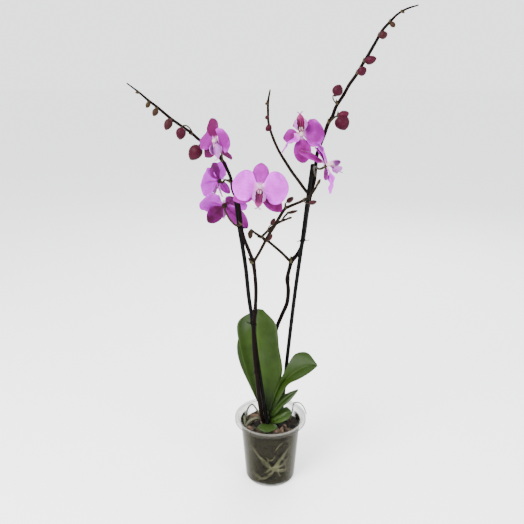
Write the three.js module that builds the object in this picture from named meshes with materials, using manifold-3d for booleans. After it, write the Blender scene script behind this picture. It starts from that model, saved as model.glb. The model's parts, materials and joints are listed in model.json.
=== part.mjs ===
// A moth orchid with two flower spikes, two stakes and a clear nursery pot, at its real size.
// Millimetres, +Z up. The origin is the centre of the pot's flat base, and the plant's front faces -Y.
import * as THREE from 'three';
import { mergeVertices } from 'three/addons/utils/BufferGeometryUtils.js';
import Module from 'manifold-3d';

const wasm = await Module();
wasm.setup();

// Driving dimensions
const GAP = 0.35;                  // clearance between two solids that touch
const POT_HEIGHT = 116.5;
const RIM_RADIUS = 62.5;
const RIM_DEPTH = 6;
const RIM_LIP = 4;                 // breadth of the rounded ring on top of the rim
const FOOT_HEIGHT = 3;             // the wall's foot is rounded up to here
const NECK_RADIUS = 52.4;          // outside of the wall just under the rim
const BASE_RADIUS = 43.6;
const WALL = 1.3;
const TURNS = 32;                  // facets round the pot and round the bark in it
const DRAIN_HOLES = 6;
const DRAIN_RADIUS = 3.5;
const DRAIN_RING = 28;
const BARK_TOP = 99;
const STAKE_RADIUS = 3.3;
const TIE_RADIUS = 0.75;
const PETAL_LENGTH = 41;
const PETAL_WIDTH = 45;
const DORSAL_LENGTH = 40;
const DORSAL_WIDTH = 25;
const LATERAL_LENGTH = 43;
const LATERAL_WIDTH = 24;
const TEPAL_THICKNESS = 0.9;
const LIP_LENGTH = 28;
const LIP_WIDTH = 24;
const LIP_POUCH_RADIUS = 9.5;      // the side lobes stand round a hollow of this radius
const LIP_THICKNESS = 1;
const COLUMN_LENGTH = 9;
const LEAF_THICKNESS = 2.2;

const group = new THREE.Group();

// ---- Helpers -------------------------------------------------------------------------------------

const point = ([x, y, z]) => new THREE.Vector3(x, y, z);
const curveThrough = (points) => new THREE.CatmullRomCurve3(points.map(point), false, 'centripetal');

// A repeatable random number from 0 to 1.
function seeded(seed) {
  let state = seed;
  return () => {
    state = (state * 1664525 + 1013904223) % 4294967296;
    return state / 4294967296;
  };
}

function closedGeometry(vertices, triangles) {
  const geometry = new THREE.BufferGeometry();
  const values = vertices.flatMap((vertex) => vertex.toArray());
  geometry.setAttribute('position', new THREE.Float32BufferAttribute(values, 3));
  geometry.setIndex(triangles.flat());
  return geometry;
}

function toSolid(source) {
  const bare = source.clone();
  bare.deleteAttribute('normal');
  bare.deleteAttribute('uv');
  const merged = mergeVertices(bare, 1e-4);
  return new wasm.Manifold(new wasm.Mesh({
    numProp: 3,
    vertProperties: new Float32Array(merged.attributes.position.array),
    triVerts: new Uint32Array(merged.index.array),
  }));
}

function toGeometry(solid) {
  const { vertProperties, triVerts } = solid.getMesh();
  const geometry = new THREE.BufferGeometry();
  geometry.setAttribute('position', new THREE.BufferAttribute(new Float32Array(vertProperties), 3));
  geometry.setIndex(new THREE.BufferAttribute(new Uint32Array(triVerts), 1));
  geometry.computeVertexNormals();
  return geometry;
}

const join = (solids) => solids.reduce((sum, solid) => sum.add(solid));
const cut = (solid, cutters) => cutters.reduce((rest, cutter) => rest.subtract(cutter), solid);

// What is left of a solid after its cuts, without loose scraps.
function trimmed(solid, cutters) {
  const bodies = cut(solid, cutters).decompose();
  return bodies.sort((a, b) => b.volume() - a.volume())[0];
}

function addNode(name, solid, { color, roughness, metalness = 0 }) {
  const material = new THREE.MeshStandardMaterial({ color, roughness, metalness });
  const mesh = new THREE.Mesh(toGeometry(solid), material);
  mesh.name = name;
  group.add(mesh);
}

// A closed round rod on a smooth curve through stations [x, y, z, radius]. An extra makes it that
// much thicker, and longer at both ends.
function rod(stations, steps, sides, extra = 0) {
  const curve = curveThrough(stations);
  const vertices = [];
  const triangles = [];
  const across = new THREE.Vector3(0.31, 0.95, 0.05);
  for (let i = 0; i <= steps; i += 1) {
    const u = i / steps;
    const place = u * (stations.length - 1);
    const before = Math.min(Math.floor(place), stations.length - 2);
    const [near, far] = stations.slice(before, before + 2).map((station) => station[3]);
    const radius = THREE.MathUtils.lerp(near, far, place - before) + extra;
    const along = curve.getTangent(u);
    across.addScaledVector(along, -across.dot(along)).normalize();
    const up = along.clone().cross(across);
    const beyond = i === 0 ? -extra : (i === steps) * extra;
    const centre = curve.getPoint(u).addScaledVector(along, beyond);
    for (let k = 0; k < sides; k += 1) {
      const angle = (2 * Math.PI * k) / sides;
      vertices.push(centre.clone()
        .addScaledVector(across, radius * Math.cos(angle))
        .addScaledVector(up, radius * Math.sin(angle)));
    }
  }
  for (let i = 0; i < steps; i += 1) {
    for (let k = 0; k < sides; k += 1) {
      const a = i * sides + k;
      const b = i * sides + ((k + 1) % sides);
      triangles.push([a, b, b + sides], [a, b + sides, a + sides]);
    }
  }
  const last = steps * sides;
  for (let k = 1; k < sides - 1; k += 1) {
    triangles.push([0, k + 1, k], [last, last + k, last + k + 1]);
  }
  return toSolid(closedGeometry(vertices, triangles));
}

// A closed thin sheet over a grid: place(s, t) is its middle surface, s along from 0 to 1, t across
// from -1 to 1, and thickness(s, t) its thickness. Both faces are split along the same diagonals.
function sheet(rows, columns, place, thickness) {
  const small = 1e-3;
  const faces = [1, -1].map((side) => {
    const layer = [];
    for (let i = 0; i <= rows; i += 1) {
      for (let k = 0; k <= columns; k += 1) {
        const s = i / rows;
        const t = (2 * k) / columns - 1;
        const middle = place(s, t);
        const alongS = place(Math.min(s + small, 1), t).sub(place(Math.max(s - small, 0), t));
        const alongT = place(s, Math.min(t + small, 1)).sub(place(s, Math.max(t - small, -1)));
        const normal = alongT.cross(alongS).normalize();
        layer.push(middle.addScaledVector(normal, (side * thickness(s, t)) / 2));
      }
    }
    return layer;
  });
  const width = columns + 1;
  const offset = faces[0].length;
  const triangles = [];
  for (let i = 0; i < rows; i += 1) {
    for (let k = 0; k < columns; k += 1) {
      const a = i * width + k;
      const corners = [a, a + 1, a + 1 + width, a + width];
      triangles.push([corners[0], corners[1], corners[2]], [corners[0], corners[2], corners[3]]);
      const [p, q, r, s] = corners.map((corner) => corner + offset);
      triangles.push([p, r, q], [p, s, r]);
    }
  }
  const rim = [];
  for (let k = 0; k < columns; k += 1) rim.push(k);
  for (let i = 0; i < rows; i += 1) rim.push(i * width + columns);
  for (let k = columns; k > 0; k -= 1) rim.push(rows * width + k);
  for (let i = rows; i > 0; i -= 1) rim.push(i * width);
  rim.forEach((a, index) => {
    const b = rim[(index + 1) % rim.length];
    triangles.push([a, a + offset, b + offset], [a, b + offset, b]);
  });
  return toSolid(closedGeometry([...faces[0], ...faces[1]], triangles));
}

// A solid of revolution about +Z from a profile of [radius, height] that starts and ends on the axis
// or closes on itself.
function turned(profile, segments) {
  const outline = profile.map(([radius, height]) => new THREE.Vector2(radius, height));
  const geometry = new THREE.LatheGeometry(outline, segments);
  geometry.rotateX(Math.PI / 2);
  return toSolid(geometry);
}

// Turns local +Z to a direction, with local +Y as near as it can be to up, and moves the origin.
function frameOf(origin, direction, up) {
  const z = point(direction).normalize();
  const y = point(up).addScaledVector(z, -point(up).dot(z)).normalize();
  const x = y.clone().cross(z);
  return new THREE.Matrix4().makeBasis(x, y, z).setPosition(point(origin));
}

const placed = (solid, matrix) => solid.transform(matrix.toArray());

// ---- Pot -----------------------------------------------------------------------------------------

const wallOutside = (z) => THREE.MathUtils.lerp(BASE_RADIUS, NECK_RADIUS, z / (POT_HEIGHT - RIM_DEPTH));

function makePot() {
  const neck = POT_HEIGHT - RIM_DEPTH;
  const skirt = neck + 0.5;
  const body = turned([
    [0, 0], [BASE_RADIUS - 2.4, 0], [wallOutside(FOOT_HEIGHT), FOOT_HEIGHT],
    [wallOutside(neck), neck],
    [RIM_RADIUS - 3.4, neck + 2.6], [RIM_RADIUS - WALL, skirt], [RIM_RADIUS, skirt],
    [RIM_RADIUS, POT_HEIGHT - WALL],
    [RIM_RADIUS - RIM_LIP / 2, POT_HEIGHT], [RIM_RADIUS - RIM_LIP, POT_HEIGHT],
    [NECK_RADIUS - WALL + 0.6, neck + 2.2], [wallOutside(neck) - WALL, neck - 0.5],
    [wallOutside(FOOT_HEIGHT) - WALL, FOOT_HEIGHT + 1], [BASE_RADIUS - 4, WALL], [0, WALL],
  ], TURNS);
  const drains = Array.from({ length: DRAIN_HOLES }, (_, i) => {
    const angle = (2 * Math.PI * (i + 0.5)) / DRAIN_HOLES;
    const hole = new THREE.CylinderGeometry(DRAIN_RADIUS, DRAIN_RADIUS, 4 * WALL, 6);
    hole.rotateX(Math.PI / 2);
    hole.translate(DRAIN_RING * Math.cos(angle), DRAIN_RING * Math.sin(angle), 0);
    return toSolid(hole);
  });
  return cut(body, drains);
}

// ---- Crown, roots, stakes and stems: stations are [x, y, z, radius] ----------------------------

const CROWN_CENTRE = [-7, 0];
const CROWN = [[0, 84], [6, 85], [8, 94], [8, 112], [6.5, 121], [3.5, 125], [0, 126]];
const ROOT_RADIUS = 2.1;
const ROOT_START = [-7, 0, 90];

const AERIAL_ROOTS = [
  [[-8, -1, 108, 2.4], [-21, -8, 116, 2.3], [-32, -11, 115, 2.2], [-41, -14, 108, 2], [-43, -14, 98, 2]],
  [[-9, 1, 95, 2], [-27, 8, 94, 2], [-41, 12, 100, 2], [-46, 4, 111, 2.1], [-45, -6, 110, 2.1],
    [-43, -8, 97, 2]],
  [[-9, 2, 104, 1.6], [-22, 20, 112, 1.5], [-33, 30, 120, 1.4], [-41, 23, 114, 1.4], [-42, 14, 98, 1.4]],
  [[-4, 1, 96, 1.4], [18, 6, 93, 1.3], [34, 14, 97, 1.2], [40, 20, 114, 1.1], [43, 23, 127, 1.1],
    [53, 23, 127, 1], [60, 19, 121, 1], [64.6, 10, 112, 0.8]],
];

// Roots that run down the inside of the wall, each a list of [angle in degrees, height].
const WALL_ROOTS = [
  [[-150, 82], [-128, 70], [-105, 50], [-82, 34], [-50, 26], [-20, 18]],
  [[-35, 82], [-55, 66], [-72, 48], [-83, 33], [-98, 18], [-122, 9]],
  [[-12, 78], [-30, 60], [-56, 44], [-80, 35]],
  [[-170, 78], [-178, 60], [-160, 38], [-138, 20], [-112, 12]],
  [[75, 82], [68, 60], [85, 42], [110, 24], [140, 14]],
  [[125, 82], [108, 66], [130, 46], [160, 30], [186, 16]],
  [[10, 80], [4, 58], [14, 36], [32, 18]],
];

const STAKES = {
  stake_left: [[6, -8, 8], [-4.4, -12, 100], [-10.5, -14, 145], [-18, -16.5, 200], [-24.5, -19, 250],
    [-30, -21.8, 303], [-36, -25, 350], [-40.5, -27.5, 400], [-45.3, -30, 437], [-49.8, -31, 468],
    [-53, -32, 500], [-54.5, -32.5, 514]],
  stake_right: [[11.5, 22, 8], [21.8, 16, 133], [30.3, 11, 240], [40.4, 5.5, 350], [50.1, -1, 440],
    [55.2, -4.7, 493], [61.7, -8.4, 552], [62.6, -8.8, 560]],
};

const LEFT_STEM = [
  [-11, -9, 108, 3.6], [-15, -14, 125, 3.6], [-19, -20, 155, 3.5], [-22, -24, 190, 3.5],
  [-23.7, -25.4, 210, 3.4], [-24.2, -25.8, 215, 4.2], [-24.8, -26.1, 221, 3.4], [-26, -27, 238, 3.4],
  [-28, -28.5, 275, 3.4], [-28, -28.8, 303, 3.4], [-26.6, -29.4, 320, 3.3], [-26, -29.8, 326, 4.2],
  [-25.5, -30, 332, 3.3], [-24.4, -31, 365, 3.2], [-27, -32, 400, 3.2], [-28.6, -32.6, 410, 4],
  [-31, -33, 418, 3.2], [-35.6, -34.2, 431, 3], [-42.5, -35.8, 450, 2.9], [-46.6, -37.2, 468, 2.9],
  [-48.3, -38.2, 490, 2.8], [-51, -39.2, 508, 2.7], [-58.3, -40.6, 525, 2.6], [-60.8, -42, 543, 2.5],
  [-66.8, -44, 559, 2.5], [-72.4, -46, 570, 2.4], [-81, -48, 582, 2.2], [-92, -50, 591, 2.2],
  [-105, -52, 600.5, 2.2], [-116, -54, 610.5, 2.2], [-130, -56, 620.5, 2.1], [-144, -58, 631, 2.1],
  [-160, -60, 645, 2], [-172, -61, 654.5, 1.8], [-184, -62, 665, 1.5], [-200, -64, 677.5, 0.9],
];

const RIGHT_STEM = [
  [-5, 6, 108, 3.6], [0, 12, 122, 3.5], [3, 22, 160, 3.4], [4, 30, 200, 3.4], [3.7, 33, 222, 3.4],
  [3.6, 33.8, 229, 4.2], [3.9, 34, 236, 3.4],
  [10.7, 34, 269, 3.5], [19.4, 32, 294, 3.5], [27.8, 28, 318, 3.5], [29.6, 24, 343, 3.5],
  [28.1, 21.4, 357, 3.4], [27.8, 20.4, 363, 4.2], [28.2, 19, 371, 3.4], [32, 16.6, 390, 3.4],
  [33.6, 15.9, 397, 4.1], [42.6, 13, 409, 3.2],
  [49.8, 9.8, 426, 3], [53.2, 6.8, 445, 2.9], [56.8, 3.2, 481, 2.8], [59.4, 1, 500, 2.8],
  [63, -1.5, 520, 2.9], [66.2, -2.6, 534, 2.9], [67.2, -3.8, 549, 2.9], [68.7, -6, 573, 2.9],
  [73, -8, 588, 2.8], [79, -12, 606, 2.8], [83, -14, 619.5, 2.9], [89, -17, 631, 2.8],
  [93, -20, 644, 2.6], [103, -24, 661, 2.5], [110, -27, 675, 2.5], [120, -30, 690, 2.5],
  [125.6, -32, 700.6, 2.4], [133.7, -35, 715, 2.4], [144, -40, 735, 2.2], [150, -43, 746.5, 2.1],
  [159.6, -46, 757.5, 1.9], [167, -50, 765.5, 1.6], [178, -55, 772, 1.4], [192, -62, 776, 0.9],
];

// Side branches of each spike.
const LEFT_BRANCHES = [
  [[-29, -32.5, 409, 2.5], [-19.4, -34, 426, 2.4], [-10.5, -36, 444, 2.4], [-4, -38, 457, 2.5],
    [2, -40, 467, 2.5], [8, -41, 478, 2.5], [20, -43, 498, 2.5], [25, -44, 501, 2.4],
    [36, -45, 506, 2.2], [47, -46, 511, 2.2], [55, -47, 517, 2.1], [62.3, -48, 527, 1.9],
    [68.5, -50, 539, 1.3]],
];
const RIGHT_BRANCHES = [
  [[33, 16, 395, 2.6], [19.4, 8, 411.6, 2.4], [6, 0, 426, 2.4], [-7, -8, 439, 2.2],
    [-15.7, -14, 446, 2.4], [-26, -18, 454, 2], [-32, -20, 460, 1.5]],
  [[-15.7, -14, 446, 2.2], [-5.6, -18, 457.4, 2.1], [6, -22, 468.6, 2.1], [17, -26, 475.3, 1.9],
    [28, -28, 480, 1.4]],
  [[15, -25.3, 474.3, 1.6], [20.4, -27, 483, 1.6], [27.6, -28, 490, 1.5]],
  [[60, 1, 509, 2.5], [51, 2, 520, 2.5], [43.2, -2, 531, 2.5], [31, -7, 547.5, 2.4],
    [22.6, -10, 560.5, 2.4], [11.3, -12, 578.5, 2.1], [3.6, -14, 594.5, 2.1], [-2, -16, 609.5, 2],
    [-5.4, -18, 623, 1.9], [-6, -20, 637, 1.9], [-6, -22, 651, 1.8], [-3, -24, 668.5, 1.1]],
];

// Buds: the stalk's stations before the bud, then the bud's base, tip and greatest radius.
const LEFT_BUDS = [
  { stalk: [[-95, -51, 593, 1.5], [-100, -58, 594.5, 1.5]],
    base: [-103, -61.5, 592.5], tip: [-117, -63, 573], radius: 10 },
  { stalk: [[-113, -54, 608, 1.2], [-116, -59, 616, 1.1], [-121, -61, 620.5, 1.1], [-126, -62, 620, 1.1]],
    base: [-127.5, -62, 618], tip: [-130.5, -63.5, 601], radius: 7.3 },
  { stalk: [[-141, -57.5, 629, 1]], base: [-143, -60, 629.5], tip: [-150, -64, 614.5], radius: 6 },
  { stalk: [[-159, -60, 644, 1]], base: [-161, -61.5, 643.5], tip: [-166, -64, 633.5], radius: 4.4 },
  { stalk: [[-170, -61, 653, 0.9]], base: [-171, -62, 652.5], tip: [-175, -64.5, 644.5], radius: 3.4 },
  { stalk: [[-183, -62, 664, 0.9]], base: [-184, -62, 665], tip: [-189.5, -63.5, 665], radius: 1.8 },
  { stalk: [[20, -43, 498, 1.1], [19.5, -45.5, 505, 1]],
    base: [22, -47, 508.5], tip: [32, -49.5, 516.5], radius: 4 },
  { stalk: [[46, -46, 510.7, 1], [51.5, -48, 507, 1]],
    base: [55.5, -50, 507.5], tip: [66, -54, 511], radius: 3.6 },
  { stalk: [[65, -49, 532, 1]], base: [66.5, -49.4, 535], tip: [70.5, -51, 544], radius: 2.4 },
];
const RIGHT_BUDS = [
  { stalk: [[84, -15, 620, 1.6], [89, -22, 627.5, 1.5], [94, -28, 631.5, 1.5]],
    base: [97, -31, 631], tip: [106, -40, 613], radius: 11 },
  { stalk: [[96, -29, 631.5, 1.5]], base: [96, -30, 630], tip: [110, -37, 637], radius: 6.5 },
  { stalk: [[94, -21, 648, 1.1], [88, -27, 655, 1], [87, -31, 660, 1]],
    base: [90, -33, 660.5], tip: [96, -36, 675.5], radius: 8 },
  { stalk: [[119.5, -30, 689, 1.1]], base: [121.5, -32, 690], tip: [131, -39, 697.5], radius: 6.5 },
  { stalk: [[128, -33, 705, 1.1]], base: [130, -34, 706], tip: [144, -43, 710.5], radius: 6 },
  { stalk: [[145.5, -41, 738, 1]], base: [146.5, -42, 739], tip: [156, -49, 741.5], radius: 5.5 },
  { stalk: [[158, -45.5, 756, 0.9]], base: [159.5, -47.5, 755.5], tip: [165, -52, 750], radius: 3.6 },
  { stalk: [[171, -52, 768, 0.8]], base: [172, -52.5, 769.5], tip: [176, -55, 767], radius: 1.8 },
  { stalk: [[-30, -19.5, 458, 1]], base: [-32.5, -21, 459], tip: [-33.5, -25, 445.5], radius: 4.2 },
  { stalk: [[-15, -14.5, 445.5, 1.1], [-11.5, -17.5, 441, 1]],
    base: [-6, -21.5, 442.5], tip: [1, -25.5, 454], radius: 3.8 },
  { stalk: [[-6, -18, 457, 1], [-4, -20.5, 464, 1]], base: [-1, -23, 468], tip: [5, -25, 479], radius: 3.6 },
  { stalk: [[23, -27.5, 486, 1]], base: [25, -27.8, 487.5], tip: [40, -31.5, 492.5], radius: 2.6 },
  { stalk: [[24, -27.2, 478, 0.9]], base: [25, -27.6, 479], tip: [31.5, -29, 481.5], radius: 2 },
  { stalk: [[-1, -16.5, 613, 1]], base: [-2, -17.5, 617.5], tip: [-9, -22, 610], radius: 4.6 },
  { stalk: [[-5, -19, 629, 0.9]], base: [-5.5, -20, 631], tip: [-10, -23.5, 627.5], radius: 3 },
  { stalk: [[-6, -22, 649, 0.9]], base: [-6.2, -22.5, 650], tip: [-10.5, -25, 648], radius: 2.2 },
];

// ---- Blooms --------------------------------------------------------------------------------------

// Where each bloom's throat is, the way that it faces, the way that its dorsal sepal points and its
// size against a full bloom. Then for its dorsal sepal, right and left petal and right and left
// lateral sepal: the turn from a regular bloom, the lean back and the twist about the tepal's own
// length in degrees, and its shares of full length and width. Last its stalk's stations from the stem.
const BLOOMS = [
  { centre: [-77, -85, 601.5], face: [-0.4, -0.88, -0.05], up: [-0.25, 0, 1], size: 0.82,
    tepals: [[11, 10, 0, 1, 0.98], [-10, -14, 8, 0.62, 0.95], [-4, 7, 35, 0.9, 0.85],
      [-29, 25, 22, 1, 0.85], [-19, -3, 0, 0.9, 0.95]],
    stalk: [[-72, -46, 569, 1.6], [-72.5, -56, 580, 1.5], [-72, -66, 594, 1.5]] },
  { centre: [-79.5, -28, 537.5], face: [-0.7, 0.65, 0.2], up: [-0.1, 0, 1], size: 0.85,
    tepals: [[-27, -7, 0, 1, 0.9], [-11, -7, 0, 1, 1.2], [-34, -26, 0, 0.95, 0.8],
      [23, 45, 0, 0.95, 0.9], [-9, -8, 10, 0.95, 0.65]],
    stalk: [[-60.5, -42, 537, 1.6], [-69, -42, 541, 1.5]] },
  { centre: [-74, 3, 493.4], face: [-0.1, 0.93, 0.25], up: [0.1, 0, 1], size: 0.98,
    tepals: [[36, 28, 0, 0.9, 0.9], [-4, 5, -20, 1, 0.95], [-10, 23, 0, 1, 0.6],
      [10, 14, 0, 0.87, 1.15], [-18, 13, 0, 1.2, 1.1]],
    stalk: [[-45.7, -38.3, 472, 1.7], [-54, -43, 472, 1.6], [-63, -40, 480, 1.6],
      [-70, -30, 490, 1.5]] },
  { centre: [-18, -72, 534], face: [0.02, -0.97, 0.2], up: [0.1, 0, 1], size: 1,
    tepals: [[1, 12, 0, 0.96, 0.95], [-4, 7, 0, 1.05, 1.06], [5, 8, 0, 1, 1],
      [13, 8, 0, 1.1, 1], [-25, 16, 0, 1.05, 1]],
    stalk: [[-51.6, -39.4, 509, 1.7], [-43, -45, 520, 1.6], [-29, -54, 531, 1.5]] },
  { centre: [43, -21, 605.5], face: [-0.05, -0.96, 0.28], up: [0.08, 0, -1], size: 1,
    tepals: [[1, 4, 0, 1.05, 1.05], [20, 25, 75, 1, 0.75], [10, 3, 0, 0.85, 0.93],
      [56, 19, 0, 0.7, 0.9], [-43, 8, 0, 0.7, 0.6]],
    stalk: [[76.5, -10.5, 599, 1.7], [66, -9, 603, 1.5], [53, -10, 604, 1.5]] },
  { centre: [76, -76, 566], face: [0.85, -0.25, 0.45], up: [-0.45, -0.66, 0.46], size: 0.95,
    tepals: [[-29, 23, -12, 1.2, 0.62], [-10, 1, 15, 1, 0.9], [35, 9, -26, 1, 0.9],
      [66, 0, 0, 0.8, 0.9], [33, 18, 0, 0.7, 0.9]],
    stalk: [[66.5, -4, 540, 1.6], [64, -20, 549, 1.5], [62, -42, 560, 1.5]] },
];

// A belly above 1 moves a tepal's widest place towards its tip.
const TEPAL_SHAPES = {
  petal: { length: PETAL_LENGTH, width: PETAL_WIDTH, belly: 1, blunt: 0.5, neck: 0.36,
    arch: 4, droop: 3, cup: 2 },
  dorsal: { length: DORSAL_LENGTH, width: DORSAL_WIDTH, belly: 1.25, blunt: 0.5, neck: 0.5,
    arch: 3, droop: 3, cup: 2.5 },
  lateral: { length: LATERAL_LENGTH, width: LATERAL_WIDTH, belly: 1.1, blunt: 0.6, neck: 0.55,
    arch: 2, droop: 4, cup: 2 },
};

// The five tepals in the order of a bloom's tepals: kind and direction from local +X in degrees.
const TEPALS = [
  ['dorsal', 90], ['petal', 10], ['petal', 170], ['lateral', -54], ['lateral', -126],
];
const CLAW_END = 0.34;             // share of its length over which a tepal widens from its neck
const BEND = [0.08, 0.34];         // shares of its length between which it takes its lean and twist
const ROW_CROWDING = 1.25;         // above 1, a tepal's rows lie closer together near its base
const LEAST_HALF_WIDTHS = { base: 2.4, tip: 0.8 };
const TEPAL_START = 1.5;           // distance of a tepal's base from the throat
const PETAL_HEIGHT = 0.3;          // petals stand in front of the sepals by this and SEPAL_DEPTH
const SEPAL_DEPTH = 1.4;
const HUB_RADIUS = 5.2;
const HUB_HALF_DEPTH = 2.6;
const HUB_BACK = 4;                // so the hub's front lies 1.2 before the throat
const LIP_START = 1.8;             // the column begins this far in front of the throat
const LIP_HALF_WIDTHS = [0.2, 0.38, 1, 0.8, 0.42, 0.12];
const LIP_HEIGHT = 5;
const LIP_ARCH = 5;
const LIP_RIDGE = 1.4;
const POUCH_CENTRE = -12;          // the hollow's axis is this far from the throat, towards the tip
const POUCH_START = 4;             // and runs forward from here
const POUCH_DEPTH = 15;
const POUCH_HALF_ANGLE = 62;       // degrees that a side lobe spans each way from its middle

const radians = THREE.MathUtils.degToRad;

// A tepal's own axes are X across, Y from its base to its tip and Z to its front.
function tepalFrame(direction, height) {
  return new THREE.Matrix4().makeRotationZ(radians(direction - 90)).setPosition(0, 0, height);
}

function tepal(kind, direction, [turn, lean, twist, longShare, wideShare]) {
  const shape = TEPAL_SHAPES[kind];
  const isPetal = kind === 'petal';
  const length = shape.length * longShare;
  const width = shape.width * wideShare;
  const matrix = tepalFrame(direction + turn, isPetal ? PETAL_HEIGHT : -SEPAL_DEPTH);
  const halfWidth = (s) => {
    const claw = shape.neck + (1 - shape.neck) * THREE.MathUtils.smoothstep(s, 0, CLAW_END);
    const least = s < 0.5 ? LEAST_HALF_WIDTHS.base : LEAST_HALF_WIDTHS.tip;
    const bulge = Math.max(Math.sin(Math.PI * s ** shape.belly), 0) ** shape.blunt;
    return Math.max((width / 2) * bulge * claw, least);
  };
  const place = (s, t) => {
    const lift = shape.arch * Math.sin(Math.PI * s) ** 2 - shape.droop * s * s - shape.cup * t * t * s;
    const bend = THREE.MathUtils.smoothstep(s, ...BEND);
    return new THREE.Vector3(t * halfWidth(s), THREE.MathUtils.lerp(TEPAL_START, length, s), lift)
      .applyAxisAngle(new THREE.Vector3(0, 1, 0), radians(twist) * bend)
      .applyAxisAngle(new THREE.Vector3(1, 0, 0), -radians(lean) * bend)
      .applyMatrix4(matrix);
  };
  const columns = isPetal ? 4 : 2;
  return sheet(5, columns, (s, t) => place(s ** ROW_CROWDING, t), () => TEPAL_THICKNESS);
}

function hub() {
  const ball = new THREE.SphereGeometry(1, 6, 4);
  ball.rotateX(Math.PI / 2);
  ball.scale(HUB_RADIUS, HUB_RADIUS, HUB_HALF_DEPTH);
  ball.translate(0, 0, HUB_HALF_DEPTH - HUB_BACK);
  return toSolid(ball);
}

function makeTepals(bloom) {
  const tepals = TEPALS.map(([kind, direction], i) => tepal(kind, direction, bloom.tepals[i]));
  return join([hub(), ...tepals]);
}

// The column, the arrow-shaped middle lobe with its two tendrils, and two side lobes that stand round
// a hollow in front of it.
function makeLip() {
  const column = rod([
    [0, 1.5, LIP_START, 2.9], [0, 2.2, 6, 3.1], [0, 1.4, LIP_START + COLUMN_LENGTH - 2, 3.3],
    [0, -0.4, LIP_START + COLUMN_LENGTH, 2],
  ], 3, 5);
  const middle = sheet(5, 2, (s, t) => {
    const place = s * (LIP_HALF_WIDTHS.length - 1);
    const before = Math.min(Math.floor(place), LIP_HALF_WIDTHS.length - 2);
    const [near, far] = LIP_HALF_WIDTHS.slice(before, before + 2);
    const half = (LIP_WIDTH / 2) * THREE.MathUtils.lerp(near, far, place - before);
    const height = LIP_HEIGHT + LIP_ARCH * Math.sin(2 * s) - LIP_RIDGE * Math.abs(t);
    return new THREE.Vector3(-t * half, -s * LIP_LENGTH, height);
  }, () => LIP_THICKNESS);
  const sides = [1, -1].map((side) => sheet(3, 2, (s, t) => {
    const reach = LIP_POUCH_RADIUS * Math.sin(Math.PI * (0.16 + 0.7 * s)) ** 0.6;
    const span = radians(POUCH_HALF_ANGLE) * Math.sin(Math.PI * (0.12 + 0.8 * s)) ** 0.5;
    const angle = side * t * span;
    const x = side * reach * Math.cos(angle);
    return new THREE.Vector3(x, POUCH_CENTRE + reach * Math.sin(angle), POUCH_START + POUCH_DEPTH * s);
  }, () => LIP_THICKNESS));
  const tip = LIP_HEIGHT + LIP_ARCH * Math.sin(2);
  const tendrils = [1, -1].map((side) => rod([
    [side * 0.6, 1.5 - LIP_LENGTH, tip, 0.9], [side * 1.8, -LIP_LENGTH - 1, tip + 1, 0.7],
    [side * 3.8, -LIP_LENGTH - 1.8, tip + 3, 0.55], [side * 4.2, -LIP_LENGTH - 0.4, tip + 5, 0.45],
  ], 2, 3));
  return join([column, middle, ...sides, ...tendrils]);
}

const STALK_STRAIGHT = 6;          // a bloom's stalk is straight for this far behind its hub

const bloomMatrix = ({ centre, face, up, size }) => frameOf(centre, face, up)
  .multiply(new THREE.Matrix4().makeScale(size, size, size));

function bloomStalk(bloom) {
  const matrix = bloomMatrix(bloom);
  const behind = (distance, radius) => [
    ...new THREE.Vector3(0, 0, -distance).applyMatrix4(matrix).toArray(), radius,
  ];
  const end = HUB_BACK + GAP / bloom.size;
  return rod([...bloom.stalk, behind(HUB_BACK + STALK_STRAIGHT, 1.7), behind(end, 1.9)], 6, 4);
}

// ---- Spikes --------------------------------------------------------------------------------------

// Share of a bud's length, and of its greatest radius there.
const BUD_PROFILE = [[0.12, 0.74], [0.42, 1], [0.8, 0.72], [1, 0.12]];

function bud({ stalk, base, tip, radius }) {
  const body = BUD_PROFILE.map(([share, width]) => [
    ...point(base).lerp(point(tip), share).toArray(), width * radius,
  ]);
  const stations = [...stalk, [...base, 0.25 * radius], ...body];
  return rod(stations, stations.length - 1, radius > 5 ? 6 : 4);
}

function makeSpike(stem, branches, buds, blooms) {
  return join([
    rod(stem, stem.length - 1, 6),
    ...branches.map((branch) => rod(branch, branch.length - 1, 5)),
    ...buds.map(bud),
    ...blooms.map(bloomStalk),
  ]);
}

// ---- Ties ----------------------------------------------------------------------------------------

// A closed wire loop round a stake and a stem: their centres [x, y] at the tie's height, the stem's
// radius there, and the loop's loose ends.
const TIES = {
  tie_left_upper: { height: 467, stake: [-49.7, -31], stem: [-46.4, -37.2], radius: 2.9,
    ends: [[[-42.8, -34.8, 467, 0.7], [-39.6, -35.4, 467.5, 0.6], [-36.6, -36, 466, 0.5]]] },
  tie_left_lower: { height: 303.5, stake: [-30, -21.8], stem: [-28, -28.8], radius: 3.4,
    ends: [[[-33.8, -25.4, 303.6, 0.7], [-37, -28, 306, 0.6], [-39.5, -29, 308, 0.5]]] },
  tie_right: { height: 436, stake: [49.6, -0.7], stem: [51.7, 8.3], radius: 3,
    ends: [[[54.3, 2, 436, 0.7], [57.6, 0, 436.5, 0.6], [61, -1, 438, 0.5]],
      [[46.3, 2, 436, 0.7], [43.4, 0, 435.5, 0.6], [41, -1, 434.5, 0.5]]] },
};

const TIE_STEPS = 10;
const TIE_SIDES = 4;

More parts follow.
